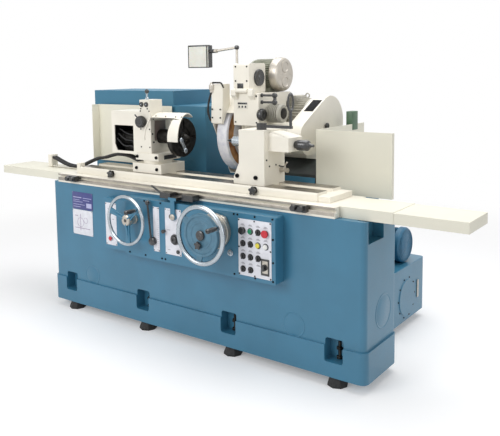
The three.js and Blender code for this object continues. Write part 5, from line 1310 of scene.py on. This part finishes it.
class GRINDER_OT_bellows(bpy.types.Operator):
    """Folds the way bellows"""
    bl_idname = "grinder.bellows"
    bl_label = "Way bellows"

    def execute(self, context):
        node, folds, dip, travel = "way_bellows", 14, 9, 120
        low, high = corners(node)
        long = high.y - low.y
        pitch = long / folds
        outline = [(low.x, low.y, low.z), (low.x, high.y, low.z)]
        for i in range(folds, -1, -1):
            y, crest = low.y + i * pitch, low.z + 77 + 60 * i / folds
            outline.append((low.x, y, crest))
            if i:
                outline.append((low.x, y - pitch / 2, crest - 2 - dip))
        folded = prism("way_bellows_finished", outline, (high.x - low.x, 0, 0))
        bevelled(folded, 1.5, test=lambda e: e.calc_length() > 0.3 and e.verts[0].co.z > low.z * MM + 0.02)
        stands_for(node, folded, "coated_cloth")
        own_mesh(folded)
        return {"FINISHED"}


class GRINDER_OT_conduit(bpy.types.Operator):
    """Lays the table's pair of ribbed cable hoses"""
    bl_idname = "grinder.conduit"
    bl_label = "Table conduit"

    def execute(self, context):
        # Distances right of the point 1100 mm along the bed, and above the lower table's top
        start, end, straight = -1329.7, -435.3, 15
        route = [(start, 62), (start + straight, 62), (-1250, 41), (-1180, 23), (-1100, 17.5), (-1030, 27), (-940, 62),
                 (-862, 88), (-800, 98), (-740, 114), (-680, 127), (-620, 130), (-560, 124), (-500, 107),
                 (end - straight, 90), (end, 90)]
        hoses = [ribbed_hose("hose", [Vector((1100 + x, y, 906.6 + z)) for x, z in route], 10.8) for y in (189, 211)]
        hose = joined("table_conduit_hoses", *hoses)
        hose.data.materials.clear()
        hose.data.materials.append(surface("rubber"))
        alone(hose)
        bpy.ops.object.shade_smooth_by_angle(angle=math.radians(50))
        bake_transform(hose)
        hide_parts("table_conduit")
        return {"FINISHED"}


def ribbed_hose(name, points, radius, step=4.5, groove=0.84):
    """A corrugated hose along points, its radius stepping in at every second ring."""
    track = smooth_track(points, step)
    line = bpy.data.curves.new(name, "CURVE")
    line.dimensions = "3D"
    line.bevel_depth = radius * MM
    line.bevel_resolution = 2
    line.use_fill_caps = True
    spline = line.splines.new("POLY")
    spline.points.add(len(track) - 1)
    for i, (point, spot) in enumerate(zip(spline.points, track)):
        point.co = (*place(*spot), 1)
        point.radius = 1 if i % 2 else groove
    piece = bpy.data.objects.new(name, line)
    bpy.context.scene.collection.objects.link(piece)
    return meshed(piece)


def smooth_track(points, step):
    """Points about step apart on a Catmull-Rom curve through the given ones."""
    ends = [2 * points[0] - points[1], *points, 2 * points[-1] - points[-2]]
    track = []
    for a, b, c, d in zip(ends, ends[1:], ends[2:], ends[3:]):
        count = max(1, round((c - b).length / step))
        for t in [i / count for i in range(count)]:
            track.append(0.5 * ((2 * b) + (c - a) * t + (2 * a - 5 * b + 4 * c - d) * t ** 2
                                + (3 * b - a - 3 * c + d) * t ** 3))
    return [*track, points[-1]]


class GRINDER_OT_hardware(bpy.types.Operator):
    """Makes the cabinet's hinges, louvres and latch, the bed's end plug, the tank's screws, gauge and cap, and the
    switch box on the right guard"""
    bl_idname = "grinder.hardware"
    bl_label = "Hardware"

    def execute(self, context):
        self.cabinet()
        fitting("end_core_plug", (2300, 204, 364), RIGHT, [
            (0, 1.6), (76, 1.6), (79, 0.4), (82, 0.4), (85, 2), (88, 2), (90, 0.2)], "blue_enamel", "base", 64)
        self.tank()
        switch = slab("switch_box", (1744.6, 857.6, 1197.6), (1787.4, 932.4, 1312.4), 3)
        finished(switch, "green_motor", "base")
        glands = [turned("gland", (1764, 880 + 26 * i, 1198), DOWN, [
            (0, 0.2), (9, 0.2), (9, 8), (12, 9), (12, 18), (8, 24), (0, 24)], 20) for i in range(2)]
        finished(joined("switch_glands", *glands), "rubber", "base")
        return {"FINISHED"}

    def cabinet(self):
        """The cabinet's hinges, its door's louvres and latch, and its side's louvres."""
        door, left = corners("cabinet_door")[0].x, corners("electrical_cabinet")[0].x - 0.2
        hinges = [turned("hinge", (door - 5, 868, z), UP, [
            (0, 0), (8, 0), (9, 2), (9, 38), (8.4, 40), (8.4, 42), (9, 44), (9, 78), (8, 80), (0, 80)], 24)
            for z in (260, 740, 1230)]
        finished(joined("cabinet_hinges", *hinges), "dark_iron", "base")
        pitch = 26
        louvre = prism("louvre", [(120, DOOR_BACK, 1180), (120, 877, 1170), (120, DOOR_BACK, 1164)], (420, 0, 0))
        shifts = [(0, 0, -drop - pitch * i) for drop in (0, 760) for i in range(7)]
        finished(repeated("door_louvres", louvre, shifts), "blue_sheet", "cabinet_door")
        fitting("door_latch", (622, DOOR_BACK, 690), BACK, [
            (0, 8), (8, 8), (11, 6), (16, 5), (18, 2), (18, 0.2), (0, 0.2)], "chromed_steel", "cabinet_door", 32)
        side = prism("louvre", [(left, 560, 1240), (left - 6.8, 560, 1230), (left, 560, 1222)], (0, 180, 0))
        rows = repeated("side_louvres", side, [(0, 0, -pitch * i) for i in range(8)])
        finished(rows, "blue_sheet", "base")

    def tank(self):
        """The hydraulic tank's cover screws, sight gauge and filler cap."""
        turns = [math.tau * i / 10 for i in range(10)]
        rim = [(TANK_RIGHT, 925 + 122 * math.cos(a), 192.5 + 122 * math.sin(a)) for a in turns]
        screws("tank_cover_screws", rim, RIGHT, "base", 5, 3.5)
        gauge = slab("sight_gauge", (TANK_RIGHT + 0.1, 1080, 150), (TANK_RIGHT + 6.7, 1100, 260), 2)
        finished(gauge, "turned_aluminium", "base")
        fitting("filler_cap", (1850, 790, corners("hydraulic_tank")[1].z), UP, [
            (0, 26), (20, 26), (25, 23), (27, 18), (27, 6), (24, 3), (24, 0.3), (0, 0.3)], "black_phenolic", "base",
            40)


class GRINDER_OT_stage(bpy.types.Operator):
    """Sets the camera, the floor, the lamps and the light of the room"""
    bl_idname = "grinder.stage"
    bl_label = "Studio"

    def execute(self, context):
        studio = context.scene.grinder_studio
        self.camera(studio)
        self.floor()
        self.lamp("key_lamp", (-1.2, -5.2, 3.4), (0.2, -0.3, 0.8), 3.5, studio.key_power)
        self.lamp("top_lamp", (0.6, 0.6, 4.6), (0.2, 0.0, 0.6), 4.5, studio.top_power)
        self.lamp("side_lamp", (5.2, -0.6, 2.6), (0.4, -0.1, 0.8), 3.0, studio.side_power)
        self.room(context, studio.room)
        context.scene.view_settings.view_transform = "Standard"
        return {"FINISHED"}

    def camera(self, studio):
        """The camera that took the photograph, its frame shifted to match the crop."""
        bpy.ops.object.camera_add()
        camera = bpy.context.object
        camera.name = "photo_camera"
        camera.data.lens = studio.lens
        camera.data.sensor_width = 36
        camera.data.shift_x, camera.data.shift_y = 0.0146, -0.155
        level, tilt = math.cos(studio.pitch), math.sin(studio.pitch)
        forward = Vector((-math.sin(studio.yaw) * level, math.cos(studio.yaw) * level, -tilt))
        right = forward.cross(UP).normalized()
        up = right.cross(forward)
        lean, upright = math.sin(studio.roll), math.cos(studio.roll)
        axes = (right * upright + up * lean, up * upright - right * lean, -forward)
        camera.matrix_world = Matrix.Translation(studio.eye) @ Matrix(axes).transposed().to_4x4()
        bpy.context.scene.camera = camera

    def seen(self, tree):
        """One for rays from the eye, direct or through a mirror or glass, and nought for the light's own."""
        sight = add(tree, "ShaderNodeLightPath")
        either = add(tree, "ShaderNodeMath", {0: sight.outputs["Is Camera Ray"], 1: sight.outputs["Is Glossy Ray"]},
                     operation="MAXIMUM")
        return add(tree, "ShaderNodeMath", {0: either.outputs[0], 1: sight.outputs["Is Transmission Ray"]},
                   operation="MAXIMUM").outputs[0]

    def floor(self):
        """A matt floor that keeps the shadow and fades to white away from the machine."""
        bpy.ops.mesh.primitive_plane_add(size=60, location=(0, 0, 0))
        floor = settled(bpy.context.object, "studio_floor")
        material, tree, shader, coords = blank(
            "matt_white_floor", {"IOR": 1.45, "Roughness": 0.9, "Specular IOR Level": 0.1})
        shader.inputs["Base Color"].default_value = linear("#e9e9ea")
        seen = self.seen(tree)
        lift = add(tree, "ShaderNodeMath", {0: seen, 1: 0.22}, operation="MULTIPLY")
        glow = add(tree, "ShaderNodeEmission", {"Color": (1, 1, 1, 1), "Strength": lift.outputs[0]})
        both = add(tree, "ShaderNodeAddShader", {0: shader.outputs[0], 1: glow.outputs[0]})
        reach = add(tree, "ShaderNodeVectorMath", {0: coords}, operation="LENGTH")
        away = add(tree, "ShaderNodeMapRange", {"Value": reach.outputs["Value"], "From Min": 2.2, "From Max": 4.5},
                   interpolation_type="SMOOTHSTEP")
        far = add(tree, "ShaderNodeMath", {0: away.outputs[0], 1: seen}, operation="MULTIPLY")
        white = add(tree, "ShaderNodeEmission", {"Color": (1, 1, 1, 1), "Strength": 1.0})
        whole = add(tree, "ShaderNodeMixShader", {0: far.outputs[0], 1: both.outputs[0], 2: white.outputs[0]})
        tree.links.new(whole.outputs[0], tree.nodes["Material Output"].inputs["Surface"])
        floor.data.materials.append(material)

    def lamp(self, name, spot, aim, size, power):
        """A round soft lamp that points at its aim."""
        bpy.ops.object.light_add(type="AREA", location=spot)
        lamp = bpy.context.object
        lamp.name = name
        lamp.data.shape = "DISK"
        lamp.data.size = size
        lamp.data.energy = power
        lamp.rotation_euler = (Vector(aim) - Vector(spot)).to_track_quat("-Z", "Y").to_euler()

    def room(self, context, strength):
        """Even light from all round, with plain white behind what is seen."""
        world = bpy.data.worlds.new("white_room")
        context.scene.world = world
        world.use_nodes = True
        tree = world.node_tree
        lit = tree.nodes["Background"]
        lit.inputs["Color"].default_value = (1, 1, 1, 1)
        lit.inputs["Strength"].default_value = strength
        white = add(tree, "ShaderNodeBackground", {"Color": (1, 1, 1, 1), "Strength": 1.0})
        mixed = add(tree, "ShaderNodeMixShader", {0: self.seen(tree), 1: lit.outputs[0], 2: white.outputs[0]})
        tree.links.new(mixed.outputs[0], tree.nodes["World Output"].inputs["Surface"])


SETTINGS = {
    "grinder_colours": FinishColours, "grinder_studio": StudioSettings, "grinder_panel": PanelSizes,
}
STEPS = (
    GRINDER_OT_stage, GRINDER_OT_castings, GRINDER_OT_sheets, GRINDER_OT_table, GRINDER_OT_control_panel,
    GRINDER_OT_apron_plates, GRINDER_OT_handwheels, GRINDER_OT_feet, GRINDER_OT_wheel, GRINDER_OT_wheelhead_fittings,
    GRINDER_OT_motors, GRINDER_OT_workhead, GRINDER_OT_tailstock, GRINDER_OT_levers, GRINDER_OT_internal_head,
    GRINDER_OT_lamp, GRINDER_OT_bellows, GRINDER_OT_conduit, GRINDER_OT_hardware,
)


class GRINDER_PT_panel(bpy.types.Panel):
    """Lists the machine's groups of pieces and its settings"""
    bl_label = "Cylindrical grinder"
    bl_idname = "GRINDER_PT_panel"
    bl_space_type = "VIEW_3D"
    bl_region_type = "UI"
    bl_category = "Grinder"

    def draw(self, context):
        for step in STEPS:
            self.layout.operator(step.bl_idname)
        for name, group in SETTINGS.items():
            for field in group.__annotations__:
                self.layout.prop(getattr(context.scene, name), field)


def register():
    for name, group in SETTINGS.items():
        bpy.utils.register_class(group)
        setattr(bpy.types.Scene, name, bpy.props.PointerProperty(type=group))
    for kind in (*STEPS, GRINDER_PT_panel):
        bpy.utils.register_class(kind)


def unregister():
    for kind in (GRINDER_PT_panel, *reversed(STEPS)):
        bpy.utils.unregister_class(kind)
    for name, group in SETTINGS.items():
        delattr(bpy.types.Scene, name)
        bpy.utils.unregister_class(group)


def main():
    register()
    for step in STEPS:
        group, name = step.bl_idname.split(".")
        getattr(getattr(bpy.ops, group), name)()


if __name__ == "__main__":
    main()
